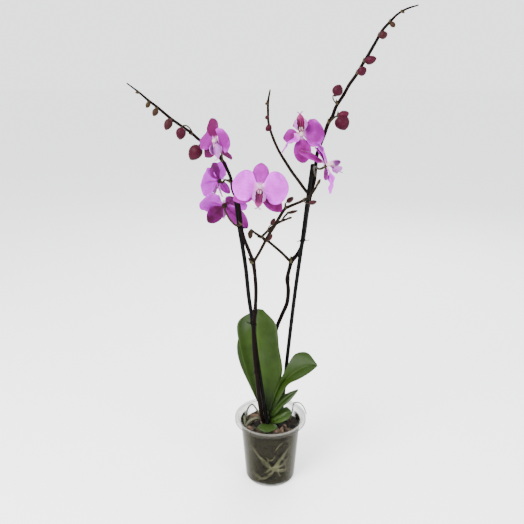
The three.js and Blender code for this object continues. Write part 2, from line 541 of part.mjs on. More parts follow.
function makeTie({ height, stake, stem, radius, ends }) {
  const apart = new THREE.Vector2(...stem).sub(new THREE.Vector2(...stake)).normalize();
  const across = new THREE.Vector2(apart.y, -apart.x);
  const vertices = [];
  const triangles = [];
  for (let i = 0; i < TIE_STEPS; i += 1) {
    const angle = (2 * Math.PI * (i + 0.5)) / TIE_STEPS;
    const [centre, inner] = Math.sin(angle) > 0 ? [stem, radius] : [stake, STAKE_RADIUS];
    const clear = (inner + GAP + TIE_RADIUS) / Math.cos(Math.PI / TIE_STEPS);
    const out = across.clone().multiplyScalar(Math.cos(angle)).addScaledVector(apart, Math.sin(angle));
    for (let k = 0; k < TIE_SIDES; k += 1) {
      const turn = (2 * Math.PI * k) / TIE_SIDES;
      const reach = clear + TIE_RADIUS * Math.cos(turn);
      vertices.push(new THREE.Vector3(
        centre[0] + reach * out.x,
        centre[1] + reach * out.y,
        height + TIE_RADIUS * Math.sin(turn),
      ));
      const a = i * TIE_SIDES + k;
      const b = i * TIE_SIDES + ((k + 1) % TIE_SIDES);
      const c = ((i + 1) % TIE_STEPS) * TIE_SIDES + k;
      const d = ((i + 1) % TIE_STEPS) * TIE_SIDES + ((k + 1) % TIE_SIDES);
      triangles.push([a, c, d], [a, d, b]);
    }
  }
  return join([toSolid(closedGeometry(vertices, triangles)), ...ends.map((end) => rod(end, 2, 3))]);
}

// ---- Leaves: the rib and both edges from base to tip -------------------------------------------

const LEAVES = {
  leaf_tall: { rows: 8, columns: 4, bulge: -2,
    rib: [[-7, 1, 121], [-11, 4, 158], [-17, 7, 200], [-21, 8, 242], [-22, 9, 284], [-20, 8, 315]],
    left: [[-15, -2, 122], [-30, -3, 165], [-44, -7, 214], [-53.5, -8, 258], [-54.5, -5, 298],
      [-25, 7, 315]],
    right: [[-3, -1, 122], [6, -5, 160], [20, -8, 205], [14, -8, 252], [8, -5, 294], [-12, 6, 314]] },
  leaf_behind: { rows: 6, columns: 4, bulge: 2,
    rib: [[-10, 5, 120], [-20, 11, 160], [-34, 15, 205], [-43, 18, 250], [-46, 19, 284]],
    left: [[-15, 4, 122], [-36, 10, 168], [-54, 13, 213], [-58, 14, 245], [-48, 18, 284]],
    right: [[-7, 9, 121], [-11, 17, 162], [-18, 22, 205], [-28, 24, 250], [-43, 20, 284]] },
  leaf_right: { rows: 8, columns: 4, bulge: 1.5,
    rib: [[-1, -6, 119], [6, -11, 150], [13, -13, 172], [24, -12, 192], [41, -12, 207], [59, -15, 219],
      [78, -22, 225]],
    left: [[-3, -3, 120], [3, -13, 156], [12, -15, 184], [24, -9, 208], [42, 5, 234], [62, 2, 238],
      [78, -19, 226.5]],
    right: [[2, -8, 119], [12, -19, 152], [20, -24, 173], [30, -31, 195], [48, -38, 209], [65, -34, 219],
      [77, -25, 225]] },
  leaf_narrow: { rows: 5, columns: 2, bulge: 1,
    rib: [[1, -3, 112], [6, -15, 130], [15, -19, 148], [28, -19, 161], [47, -16, 176]],
    left: [[-1, -5, 116], [6, -11, 138], [17, -12, 160], [31, -13, 170], [47, -15, 177]],
    right: [[3, -7, 112], [9, -20, 131], [20, -26, 148], [33, -25, 160], [47, -17, 175]] },
  leaf_round: { rows: 5, columns: 2, bulge: 1,
    rib: [[-1, -7, 106], [8, -18, 116], [18, -20, 124], [28, -19, 130], [36, -15, 133]],
    left: [[-1, -4, 110], [7, -11, 121], [17, -8, 132], [28, -7, 138], [36, -13, 134]],
    right: [[1, -10, 107], [9, -24, 115], [20, -29, 121], [31, -27, 126], [37, -17, 132]] },
  leaf_front: { rows: 5, columns: 2, bulge: -1,
    rib: [[-6, -7, 103], [-6, -16, 106], [-6, -25, 106.5], [-7, -34, 103.5]],
    left: [[-8, -7, 103], [-21, -17, 107.5], [-22, -26, 106], [-9, -34, 103]],
    right: [[-4, -7, 103], [10, -17, 107], [12, -26, 107], [-4, -34, 103]] },
};

// A leaf, or with a margin the space that it needs with that much clearance all round.
function makeLeaf({ rows, columns, bulge, rib, left, right }, margin = 0) {
  const curves = [rib, left, right].map(curveThrough);
  const place = (s, t) => {
    const [middle, leftEdge, rightEdge] = curves.map((curve) => curve.getPoint(s));
    const along = curves[0].getTangent(s);
    const normal = rightEdge.clone().sub(leftEdge).cross(along).normalize();
    const edge = t < 0 ? leftEdge : rightEdge;
    const side = Math.abs(t);
    const outward = edge.clone().sub(middle).normalize();
    return middle.lerp(edge, side)
      .addScaledVector(normal, bulge * 4 * side * (1 - side))
      .addScaledVector(outward, margin * side)
      .addScaledVector(along, margin * (2 * s - 1));
  };
  const thickness = (s, t) => LEAF_THICKNESS * (1 - 0.5 * t * t) * (1 - 0.3 * s) + 2 * margin;
  return sheet(rows, columns, place, thickness);
}

// ---- Bark ----------------------------------------------------------------------------------------

const ROOT_TOP = 84;               // below this the bark leaves a ring for the roots on the wall
const CHIPS = 14;
const CHIP_RING = 39;
const CHIP_SEED = 11;
const CHIP_TILT = 0.45;            // greatest tilt of a chip in radians

function makeBark() {
  const random = seeded(CHIP_SEED);
  const chips = Array.from({ length: CHIPS }, () => {
    const chip = new THREE.BoxGeometry(11 + 8 * random(), 7 + 5 * random(), 5 + 3 * random());
    chip.rotateX(CHIP_TILT * (2 * random() - 1));
    chip.rotateY(CHIP_TILT * (2 * random() - 1));
    chip.rotateZ(Math.PI * random());
    const ring = CHIP_RING * Math.sqrt(random());
    const angle = 2 * Math.PI * random();
    chip.translate(ring * Math.cos(angle), ring * Math.sin(angle), BARK_TOP + 0.5 + 2.5 * random());
    return toSolid(chip);
  });
  const inside = (z) => wallOutside(z) - WALL - GAP;
  const rootSpace = 2 * (ROOT_RADIUS + GAP);
  const core = turned([
    [0, WALL + GAP], [BASE_RADIUS - 4.4, WALL + GAP], [inside(4.4), 4.4], [inside(8) - rootSpace, 8],
    [inside(ROOT_TOP + 2) - rootSpace, ROOT_TOP + 2], [inside(ROOT_TOP + 6), ROOT_TOP + 6],
    [inside(BARK_TOP - 1), BARK_TOP - 1], [inside(BARK_TOP) - 1, BARK_TOP], [0, BARK_TOP + 2],
  ], TURNS);
  return join([core, ...chips]);
}

// ---- Assembly ------------------------------------------------------------------------------------

function makeCrown(extra = 0) {
  const profile = CROWN.map(([radius, height]) => {
    return [radius ? radius + extra : 0, height + (height > BARK_TOP ? extra : -extra)];
  });
  return turned(profile, 8).translate([...CROWN_CENTRE, 0]);
}

// A root that leaves the crown through the bark and then keeps to the wall.
function wallRoot(route) {
  const turns = new THREE.SplineCurve(route.map(([angle, z]) => new THREE.Vector2(angle, z)));
  const samples = turns.getPoints(2 * route.length - 1).map(({ x: angle, y: z }) => {
    const reach = wallOutside(z) - WALL - 2 * GAP - ROOT_RADIUS;
    return [reach * Math.cos(radians(angle)), reach * Math.sin(radians(angle)), z, ROOT_RADIUS];
  });
  const [x, y, z] = samples[0];
  const shoulder = [0.84 * x, 0.84 * y, z + 1.5, ROOT_RADIUS];
  return [[...ROOT_START, ROOT_RADIUS], shoulder, ...samples];
}

function makeRoots(extra = 0) {
  const aerial = AERIAL_ROOTS.map((route) => rod(route, 2 * route.length - 2, 5, extra));
  const onWall = WALL_ROOTS.map(wallRoot).map((route) => rod(route, route.length - 1, 4, extra));
  return [...aerial, ...onWall];
}

function makeStake(route, extra = 0) {
  return rod(route.map((station) => [...station, STAKE_RADIUS]), route.length - 1, 6, extra);
}

const materials = {
  pot: { color: 0xc9ccc4, roughness: 0.2 },
  bark: { color: 0x6e4a34, roughness: 0.95 },
  root: { color: 0x93a08c, roughness: 0.7 },
  leaf: { color: 0x4f7d2c, roughness: 0.4 },
  stake: { color: 0x101010, roughness: 0.5 },
  tie: { color: 0x1a1a1a, roughness: 0.6 },
  stem: { color: 0x2c1c1c, roughness: 0.5 },
  petal: { color: 0xd06fe0, roughness: 0.5 },
  lip: { color: 0xb0307a, roughness: 0.5 },
};

const pot = makePot();
const crownRoots = join([makeCrown(), ...makeRoots()]);
const crownSpace = [makeCrown(GAP), ...makeRoots(GAP)];
const stakeSpace = Object.values(STAKES).map((route) => makeStake(route, GAP));

const spikes = {
  spike_left: makeSpike(LEFT_STEM, LEFT_BRANCHES, LEFT_BUDS, BLOOMS.slice(0, 4)),
  spike_right: makeSpike(RIGHT_STEM, RIGHT_BRANCHES, RIGHT_BUDS, BLOOMS.slice(4)),
};
const stemFeet = [LEFT_STEM, RIGHT_STEM].map((stem) => stem.slice(0, 4));
const stemSpace = stemFeet.map((foot) => rod(foot, 5, 6, GAP));

addNode('pot', pot, materials.pot);
addNode('crown_roots', crownRoots, materials.root);

const LEAF_MARGIN = 2 * GAP;       // wider than the gap, since leaves are coarse where they bend

// Each leaf gives way to those before it, and the bark to all of them.
const leafSpace = [];
Object.entries(LEAVES).forEach(([name, leaf]) => {
  const spaces = [...crownSpace, ...stemSpace, ...stakeSpace, ...leafSpace];
  addNode(name, trimmed(makeLeaf(leaf), spaces), materials.leaf);
  leafSpace.push(makeLeaf(leaf, LEAF_MARGIN));
});

const barkCuts = [...crownSpace, ...stakeSpace, ...stemSpace, ...leafSpace];
addNode('bark', trimmed(makeBark(), barkCuts), materials.bark);
Object.entries(STAKES).forEach(([name, route]) => addNode(name, makeStake(route), materials.stake));
Object.entries(TIES).forEach(([name, tie]) => addNode(name, makeTie(tie), materials.tie));
Object.entries(spikes).forEach(([name, spike]) => addNode(name, trimmed(spike, crownSpace), materials.stem));

BLOOMS.forEach((bloom, i) => {
  const matrix = bloomMatrix(bloom);
  addNode(`petals_${i + 1}`, placed(makeTepals(bloom), matrix), materials.petal);
  addNode(`lip_${i + 1}`, placed(makeLip(), matrix), materials.lip);
});

export default group;
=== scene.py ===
import json
import math
import random

import bmesh
import bpy
from mathutils import Matrix, Vector

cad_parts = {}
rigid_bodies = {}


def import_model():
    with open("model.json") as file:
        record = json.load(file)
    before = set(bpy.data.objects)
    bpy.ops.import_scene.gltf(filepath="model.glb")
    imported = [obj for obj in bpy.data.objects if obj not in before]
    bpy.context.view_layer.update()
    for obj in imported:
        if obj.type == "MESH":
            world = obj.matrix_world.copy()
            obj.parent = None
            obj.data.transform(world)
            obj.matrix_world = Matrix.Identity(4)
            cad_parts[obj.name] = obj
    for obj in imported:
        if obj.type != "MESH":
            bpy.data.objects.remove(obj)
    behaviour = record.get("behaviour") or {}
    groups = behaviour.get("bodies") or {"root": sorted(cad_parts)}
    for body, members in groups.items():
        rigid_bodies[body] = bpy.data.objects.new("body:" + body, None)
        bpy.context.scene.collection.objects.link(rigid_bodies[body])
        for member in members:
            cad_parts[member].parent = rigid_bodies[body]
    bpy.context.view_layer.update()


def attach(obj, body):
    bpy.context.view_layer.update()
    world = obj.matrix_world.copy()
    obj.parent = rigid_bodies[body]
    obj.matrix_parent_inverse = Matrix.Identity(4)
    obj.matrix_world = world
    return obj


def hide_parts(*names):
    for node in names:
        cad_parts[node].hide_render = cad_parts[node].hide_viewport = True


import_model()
mm = 0.001  # the dictionaries below hold millimetres and degrees


# sockets that work in plain sums, in geometry and shader trees alike


def feed(tree, socket, value):
    if isinstance(value, Field):
        tree.links.new(value.socket, socket)
    elif isinstance(value, bpy.types.NodeSocket):
        tree.links.new(value, socket)
    else:
        socket.default_value = value


def addNode(tree, kind, inputs=None, **settings):
    node = tree.nodes.new(kind)
    for name, value in settings.items():
        setattr(node, name, value)
    for name, value in (inputs or {}).items():
        feed(tree, node.inputs[name], value)
    return node


class Field:
    def __init__(self, tree, socket):
        self.tree = tree
        self.socket = socket

    def math(self, operation, *others):
        node = self.tree.nodes.new("ShaderNodeMath")
        node.operation = operation
        for socket, value in zip(node.inputs, (self,) + others):
            feed(self.tree, socket, value)
        return Field(self.tree, node.outputs[0])

    def __add__(self, other):
        return self.math("ADD", other)

    def __mul__(self, other):
        return self.math("MULTIPLY", other)

    def __sub__(self, other):
        return self.math("SUBTRACT", other)

    def __pow__(self, other):
        return self.math("POWER", other)

    def __rsub__(self, other):
        return self * -1 + other

    __radd__ = __add__
    __rmul__ = __mul__

    def sine(self):
        return self.math("SINE")

    def cosine(self):
        return self.math("COSINE")

    def size(self):
        return self.math("ABSOLUTE")

    def between(self, low, high):
        return self.math("MAXIMUM", low).math("MINIMUM", high)

    def step(self, low, high, first=0.0, last=1.0):
        node = self.tree.nodes.new("ShaderNodeMapRange")
        node.interpolation_type = "SMOOTHSTEP"
        for socket, value in zip(node.inputs, (self, low, high, first, last)):
            feed(self.tree, socket, value)
        return Field(self.tree, node.outputs[0])


def splitVector(tree, vector):
    node = addNode(tree, "ShaderNodeSeparateXYZ", {"Vector": vector})
    return [Field(tree, socket) for socket in node.outputs]


def joinVector(tree, x, y, z):
    return addNode(tree, "ShaderNodeCombineXYZ", {"X": x, "Y": y, "Z": z}).outputs[0]


def noise(tree, vector, scale, detail=3.0, roughness=0.5, seed=None):
    node = addNode(tree, "ShaderNodeTexNoise", noise_dimensions="3D" if seed is None else "4D")
    values = {"Vector": vector, "Scale": scale, "Detail": detail, "Roughness": roughness}
    if seed is not None:
        values["W"] = seed
    for name, value in values.items():
        feed(tree, node.inputs[name], value)
    return Field(tree, node.outputs[0])


# geometry node trees, their modifiers and the plain meshes that come out of them

def geometryTree(name, sockets):
    tree = bpy.data.node_groups.new(name, "GeometryNodeTree")
    face = tree.interface
    face.new_socket("Geometry", in_out="INPUT", socket_type="NodeSocketGeometry")
    face.new_socket("Geometry", in_out="OUTPUT", socket_type="NodeSocketGeometry")
    for label, kind in sockets.items():
        face.new_socket(label, in_out="INPUT", socket_type="NodeSocket" + kind.capitalize())
    start = tree.nodes.new("NodeGroupInput")
    end = tree.nodes.new("NodeGroupOutput")
    values = {label: Field(tree, start.outputs[label]) for label in sockets}
    values["Geometry"] = start.outputs["Geometry"]
    return tree, values, end


def finishTree(tree, end, geometry, material, smooth=True):
    if smooth:
        geometry = addNode(tree, "GeometryNodeSetShadeSmooth", {"Geometry": geometry}).outputs[0]
    real = addNode(tree, "GeometryNodeRealizeInstances", {"Geometry": geometry})
    inputs = {"Geometry": real.outputs[0], "Material": material}
    painted = addNode(tree, "GeometryNodeSetMaterial", inputs)
    tree.links.new(painted.outputs[0], end.inputs["Geometry"])


def nameAttribute(tree, geometry, name, kind, domain, value):
    node = addNode(tree, "GeometryNodeStoreNamedAttribute", data_type=kind, domain=domain)
    node.inputs["Name"].default_value = name
    feed(tree, node.inputs["Geometry"], geometry)
    feed(tree, node.inputs["Value"], value)
    return node.outputs[0]


def pushOut(tree, geometry, amount):
    # moves a surface along its normals
    normal = addNode(tree, "GeometryNodeInputNormal").outputs[0]
    push = addNode(tree, "ShaderNodeVectorMath", operation="SCALE")
    feed(tree, push.inputs[0], normal)
    feed(tree, push.inputs["Scale"], amount)
    inputs = {"Geometry": geometry, "Offset": push.outputs[0]}
    return addNode(tree, "GeometryNodeSetPosition", inputs).outputs[0]


def linkObject(name, data):
    piece = bpy.data.objects.new(name, data)
    bpy.context.scene.collection.objects.link(piece)
    return piece


def plainMesh(source):
    bpy.context.view_layer.update()
    graph = bpy.context.evaluated_depsgraph_get()
    evaluated = source.evaluated_get(graph)
    return bpy.data.meshes.new_from_object(evaluated, preserve_all_data_layers=True, depsgraph=graph)


def grow(source, tree, values, name):
    # runs a tree on a source object and keeps only the plain mesh that it makes
    modifier = source.modifiers.new(tree.name, "NODES")
    modifier.node_group = tree
    for item in tree.interface.items_tree:
        if item.item_type == "SOCKET" and item.in_out == "INPUT" and item.name in values:
            modifier[item.identifier] = values[item.name]
    mesh = plainMesh(source)
    mesh.name = name
    source.modifiers.remove(modifier)
    bpy.data.objects.remove(source)
    return linkObject(name, mesh)


def joinPieces(name, pieces):
    if len(pieces) > 1:
        with bpy.context.temp_override(
            active_object=pieces[0], selected_editable_objects=pieces, selected_objects=pieces
        ):
            bpy.ops.object.join()
    whole = pieces[0]
    whole.name = name
    whole.data.name = name
    return whole


def setTone(piece, value):
    tone = piece.data.attributes.new("tone", "FLOAT", "POINT")
    tone.data.foreach_set("value", [value] * len(piece.data.vertices))


def handOver(piece, node):
    first, *words = node.split("_")
    piece.name = first + "".join(word.capitalize() for word in words) + ("" if words else "Body")
    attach(piece, "root")
    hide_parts(node)


def curvePoint(points, share):
    # a centripetal Catmull-Rom curve through points that may also carry a radius
    last = len(points) - 1
    place = min(max(share, 0), 1) * last
    index = min(int(place), last - 1)
    here, there = Vector(points[index]), Vector(points[index + 1])
    before = Vector(points[index - 1]) if index else 2 * here - there
    after = Vector(points[index + 2]) if index + 2 <= last else 2 * there - here
    spans = [
        max((b.to_3d() - a.to_3d()).length, 1e-6) ** 0.5
        for a, b in ((before, here), (here, there), (there, after))
    ]
    slopes = []
    for a, b, c, near, far in ((before, here, there, *spans[:2]), (here, there, after, *spans[1:])):
        slopes.append(((b - a) / near - (c - a) / (near + far) + (c - b) / far) * spans[1])
    w = place - index
    return (
        here
        + slopes[0] * w
        + (3 * (there - here) - 2 * slopes[0] - slopes[1]) * w * w
        + (2 * (here - there) + slopes[0] + slopes[1]) * w * w * w
    )


def pathsObject(name, paths, perSpan):
    # one curve object with a spline for each list of stations [x, y, z, radius]
    data = bpy.data.curves.new(name, "CURVE")
    data.dimensions = "3D"
    for stations in paths:
        steps = perSpan * (len(stations) - 1)
        spline = data.splines.new("POLY")
        spline.points.add(steps)
        for i, spot in enumerate(spline.points):
            x, y, z, radius = curvePoint(stations, i / steps)
            spot.co = (x * mm, y * mm, z * mm, 1)
            spot.radius = max(radius, 0.2) * mm
    return linkObject(name, data)


def makeTubeTree():
    sockets = {"Sides": "int", "Bump": "float", "Bump Scale": "float", "Seed": "float"}
    tree, given, end = geometryTree("tubeAlongPath", {**sockets, "Material": "material"})
    ring = addNode(tree, "GeometryNodeCurvePrimitiveCircle", {"Radius": 1.0})
    feed(tree, ring.inputs["Resolution"], given["Sides"])
    radius = addNode(tree, "GeometryNodeInputRadius")
    inputs = {"Curve": given["Geometry"], "Profile Curve": ring.outputs[0], "Fill Caps": True}
    tube = addNode(tree, "GeometryNodeCurveToMesh", {**inputs, "Scale": radius.outputs[0]})
    position = addNode(tree, "GeometryNodeInputPosition").outputs[0]
    relief = noise(tree, position, given["Bump Scale"], 3.0, 0.55, given["Seed"]) - 0.5
    moved = pushOut(tree, tube.outputs[0], relief * given["Bump"])
    finishTree(tree, end, moved, given["Material"])
    return tree


tubeTree = makeTubeTree()


def tubes(name, paths, material, sides=10, perSpan=6, bump=0.0, bumpScale=150, seed=1):
    values = {"Sides": sides, "Bump": bump * mm, "Bump Scale": float(bumpScale)}
    values.update({"Seed": float(seed), "Material": material})
    return grow(pathsObject(name, paths, perSpan), tubeTree, values, name)


def makeScatterTree():
    # a copy of one object on each point, turned to the point's direction and sized by it
    tree, given, end = geometryTree("copiesOnPoints", {"Copy": "object", "Material": "material"})
    copy = addNode(tree, "GeometryNodeObjectInfo", {"Object": given["Copy"]})
    named = {}
    for label in ("direction", "size"):
        node = addNode(tree, "GeometryNodeInputNamedAttribute", data_type="FLOAT_VECTOR")
        node.inputs["Name"].default_value = label
        named[label] = node.outputs[0]
    turned = addNode(tree, "FunctionNodeAlignRotationToVector", {"Vector": named["direction"]})
    turned.axis = "Z"
    inputs = {"Points": given["Geometry"], "Instance": copy.outputs["Geometry"]}
    inputs.update({"Rotation": turned.outputs[0], "Scale": named["size"]})
    copies = addNode(tree, "GeometryNodeInstanceOnPoints", inputs)
    finishTree(tree, end, copies.outputs[0], given["Material"])
    return tree


scatterTree = makeScatterTree()


def copiesOn(name, spots, copy, material):
    # spots: (place, direction, (width, width, length), tone), all in millimetres
    mesh = bpy.data.meshes.new(name)
    mesh.from_pydata([Vector(place) * mm for place, *rest in spots], [], [])
    columns = {
        "direction": ("FLOAT_VECTOR", [Vector(spot[1]).normalized() for spot in spots]),
        "size": ("FLOAT_VECTOR", [Vector(spot[2]) * mm for spot in spots]),
        "tone": ("FLOAT", [spot[3] for spot in spots]),
    }
    for label, (kind, values) in columns.items():
        column = mesh.attributes.new(label, kind, "POINT")
        for item, value in zip(column.data, values):
            setattr(item, "value" if kind == "FLOAT" else "vector", value)
    points = linkObject(name, mesh)
    return grow(points, scatterTree, {"Copy": copy, "Material": material}, name)


def sheetObject(name, rows, columns, place, thickness, material):
    # a closed thin sheet: place(s, t) is its middle in millimetres, s 0 to 1 along and t -1 to 1 across
    def grid(i, k):
        return 0.5 - 0.5 * math.cos(math.pi * i / rows), 2 * k / columns - 1

    small = 1e-3
    width = columns + 1
    vertices, under, uvs, lower = [], [], [], {}
    for i in range(rows + 1):
        for k in range(width):
            s, t = grid(i, k)
            middle = place(s, t)
            alongS = place(min(s + small, 1), t) - place(max(s - small, 0), t)
            alongT = place(s, min(t + small, 1)) - place(s, max(t - small, -1))
            edge = i in (0, rows) or k in (0, columns)
            normal = alongT.cross(alongS).normalized() * (0 if edge else thickness(s, t) / 2)
            vertices.append((middle + normal) * mm)
            under.append((middle - normal) * mm)
            uvs.append(((t + 1) / 2, s))
    for i in range(1, rows):
        for k in range(1, columns):
            corner = i * width + k
            lower[corner] = len(vertices)
            vertices.append(under[corner])
            uvs.append(uvs[corner])
    faces, fronts = [], []
    for i in range(rows):
        for k in range(columns):
            a = i * width + k
            quad = (a, a + 1, a + 1 + width, a + width)
            faces += [quad, tuple(lower.get(corner, corner) for corner in reversed(quad))]
            fronts += [1.0, 0.0]
    return meshObject(name, vertices, faces, material, uvs, fronts)


def meshObject(name, vertices, faces, material, uvs=None, fronts=None):
    mesh = bpy.data.meshes.new(name)
    mesh.from_pydata(vertices, [], faces)
    if uvs:
        layer = mesh.uv_layers.new(name="UVMap")
        for loop in mesh.loops:
            layer.data[loop.index].uv = uvs[loop.vertex_index]
    if fronts:
        front = mesh.attributes.new("Front", "FLOAT", "FACE")
        front.data.foreach_set("value", fronts)
    mesh.polygons.foreach_set("use_smooth", [True] * len(mesh.polygons))
    mesh.materials.append(material)
    return linkObject(name, mesh)


def turnedObject(name, profile, segments, material, centre=(0, 0), shape=None):
    # a solid of revolution from (radius, height) stations that start and end on the axis
    vertices, rings = [], []
    for radius, height in profile:
        if radius < 1e-6:
            rings.append([len(vertices)])
            vertices.append(Vector((centre[0], centre[1], height)) * mm)
            continue
        ring = []
        for k in range(segments):
            angle = 2 * math.pi * k / segments
            reach = radius * (shape(angle, height) if shape else 1)
            spot = (centre[0] + reach * math.cos(angle), centre[1] + reach * math.sin(angle), height)
            ring.append(len(vertices))
            vertices.append(Vector(spot) * mm)
        rings.append(ring)
    faces = []
    for low, high in zip(rings, rings[1:]):
        for k in range(segments):
            j = (k + 1) % segments
            if len(low) == 1:
                faces.append((low[0], high[j], high[k]))
            elif len(high) == 1:
                faces.append((low[k], low[j], high[0]))
            else:
                faces.append((low[k], low[j], high[j], high[k]))
    return meshObject(name, vertices, faces, material)


def bend(start, corner, end, steps=6):
    # a rounded corner in a profile
    start, corner, end = Vector(start), Vector(corner), Vector(end)
    shares = [i / steps for i in range(steps + 1)]
    return [tuple(start.lerp(corner, s).lerp(corner.lerp(end, s), s)) for s in shares]


# effects that several materials share: they put out colours, masks and normals only


def shaderGroup(name, inputs, outputs):
    # the kind of an input follows from its value, with None for a vector
    tree = bpy.data.node_groups.new(name, "ShaderNodeTree")
    for label, value in inputs.items():
        kind = "Vector" if value is None else "Color" if isinstance(value, tuple) else "Float"
        socket = tree.interface.new_socket(label, in_out="INPUT", socket_type="NodeSocket" + kind)
        if value is not None:
            socket.default_value = value
    for label, kind in outputs.items():
        tree.interface.new_socket(label, in_out="OUTPUT", socket_type="NodeSocket" + kind)
    start = tree.nodes.new("NodeGroupInput")
    end = tree.nodes.new("NodeGroupOutput")
    return tree, {label: Field(tree, start.outputs[label]) for label in inputs}, end


def mixColours(tree, factor, first, second):
    node = addNode(tree, "ShaderNodeMix", data_type="RGBA")
    feed(tree, node.inputs[0], factor)
    feed(tree, node.inputs[6], first)
    feed(tree, node.inputs[7], second)
    return node.outputs[2]


def stretched(tree, vector, scale):
    return addNode(tree, "ShaderNodeMapping", {"Vector": vector, "Scale": scale}).outputs[0]


def makeMottle():
    # blotches of two colours over a surface
    inputs = {"Vector": None, "Scale": 40.0, "Contrast": 2.0, "First": (0, 0, 0, 1), "Second": (1, 1, 1, 1)}
    tree, given, end = shaderGroup("mottle", inputs, {"Colour": "Color"})
    cloud = noise(tree, given["Vector"], given["Scale"], 4.0, 0.6)
    mask = ((cloud - 0.5) * given["Contrast"] + 0.5).between(0, 1)
    tree.links.new(mixColours(tree, mask, given["First"], given["Second"]), end.inputs["Colour"])
    return tree


def makeVeins():
    # lines that fan out from the base of a blade, uneven in weight and broken here and there
    inputs = {"UV": None, "Place": None, "Count": 9.0, "Wobble": 0.03, "Thinness": 8.0}
    tree, given, end = shaderGroup("fanVeins", inputs, {"Mask": "Float"})
    across, along, rest = splitVector(tree, given["UV"])
    sway = (noise(tree, given["Place"], 60.0, 2.0) - 0.5) * given["Wobble"] * (0.3 + along)
    line = ((across + sway) * given["Count"] * math.pi).sine().size()
    weight = noise(tree, joinVector(tree, across * given["Count"], along * 1.5, 0.0), 1.3, 2.0).step(0.3, 0.7)
    mask = (1 - line) ** given["Thinness"] * (0.25 + weight * 0.75)
    faded = mask * along.step(0.0, 0.12) * (1 - along.step(0.6, 0.98))
    tree.links.new(faded.socket, end.inputs["Mask"])
    return tree


def makeGrain():
    # a bump for pores, fibres or the sparkle of plant cells
    inputs = {"Vector": None, "Scale": 400.0, "Strength": 0.2, "Distance": 0.0002, "Height": 0.0}
    tree, given, end = shaderGroup("grain", inputs, {"Normal": "Vector"})
    height = noise(tree, given["Vector"], given["Scale"], 3.0, 0.6) + given["Height"]
    inputs = {"Height": height, "Strength": given["Strength"], "Distance": given["Distance"]}
    tree.links.new(addNode(tree, "ShaderNodeBump", inputs).outputs[0], end.inputs["Normal"])
    return tree


mottle = makeMottle()
veins = makeVeins()
grain = makeGrain()


def effect(tree, group, **values):
    node = tree.nodes.new("ShaderNodeGroup")
    node.node_tree = group
    for label, value in values.items():
        feed(tree, node.inputs[label], value)
    return node.outputs


def newMaterial(name, specular=0.5, **sockets):
    # sockets: values that are the same all over, by the shader's own names without spaces
    material = bpy.data.materials.new(name)
    material.use_nodes = True
    tree = material.node_tree
    shader = tree.nodes["Principled BSDF"]
    shader.inputs["Specular IOR Level"].default_value = specular
    for label, value in sockets.items():
        words = "".join(" " + c if c.isupper() else c for c in label).strip()
        shader.inputs[words].default_value = value
    return material, tree, shader, tree.nodes.new("ShaderNodeTexCoord").outputs["Object"]


def attribute(tree, name):
    node = addNode(tree, "ShaderNodeAttribute", attribute_name=name)
    return Field(tree, node.outputs["Fac"])


def bladeSpots(tree):
    uv = addNode(tree, "ShaderNodeUVMap", uv_map="UVMap").outputs[0]
    across, along, rest = splitVector(tree, uv)
    return uv, across, along


def paint(tree, shader, colour, **bumps):
    # links the colour, and the bumps of the grain where it is given any values
    tree.links.new(colour, shader.inputs["Base Color"])
    if bumps:
        tree.links.new(effect(tree, grain, **bumps)["Normal"], shader.inputs["Normal"])


def mottled(tree, spot, scale, contrast, first, second):
    values = {"Vector": spot, "Scale": scale, "Contrast": contrast, "First": first, "Second": second}
    return effect(tree, mottle, **values)["Colour"]


def mottledMaterial(name, specular, sockets, colours, scale, contrast, **bumps):
    material, tree, shader, spot = newMaterial(name, specular, **sockets)
    blotch = mottled(tree, spot, scale, contrast, *colours)
    paint(tree, shader, blotch, **({"Vector": spot, **bumps} if bumps else {}))
    return material


print("helpers and node trees are ready")


# camera, floor and light

cameraView = {"place": (-14.8, -888, 681), "pitch": 17.53, "lens": 39.5, "sensor": 36}
studio = {
    "floor": 90000,
    "floorColour": (0.96, 0.96, 0.96, 1),
    "air": (0.98, 0.99, 1.0, 1),
    "airStrength": 2.3,
    "lamps": {  # place, aim, size, watts, colour
        "windowLight": ((-1000, -1050, 1550), (0, 0, 430), 900, 90, (1.0, 0.99, 0.97)),
        "sideLight": ((1350, -1250, 820), (0, 0, 330), 700, 34, (0.98, 0.99, 1.0)),
        "backLight": ((500, 1500, 1500), (0, 0, 400), 1200, 30, (1.0, 1.0, 1.0)),
    },
}


def makeCamera():
    data = bpy.data.cameras.new("photoCamera")
    data.lens = cameraView["lens"]
    data.sensor_width = cameraView["sensor"]
    holder = linkObject("photoCamera", data)
    holder.location = Vector(cameraView["place"]) * mm
    holder.rotation_euler = (math.radians(90 - cameraView["pitch"]), 0, 0)
    bpy.context.scene.camera = holder


def makeStudio():
    world = bpy.data.worlds.new("studioAir")
    world.use_nodes = True
    air = world.node_tree.nodes["Background"]
    air.inputs["Color"].default_value = studio["air"]
    air.inputs["Strength"].default_value = studio["airStrength"]
    bpy.context.scene.world = world
    for name, (place, aim, size, watts, colour) in studio["lamps"].items():
        data = bpy.data.lights.new(name, "AREA")
        data.size = size * mm
        data.energy = watts
        data.color = colour
        lamp = linkObject(name, data)
        lamp.location = Vector(place) * mm
        lamp.rotation_euler = (Vector(aim) - Vector(place)).to_track_quat("-Z", "Y").to_euler()
    half = studio["floor"] * mm / 2
    corners = [(-half, -half, 0), (half, -half, 0), (half, half, 0), (-half, half, 0)]
    material = newMaterial("paleFloor", BaseColor=studio["floorColour"], Roughness=0.6)[0]
    meshObject("floor", corners, [(0, 1, 2, 3)], material)


makeCamera()
makeStudio()
print("camera, floor and light are in place")


# pot: clear plastic, with a rounded foot, a tapered wall and a rolled rim

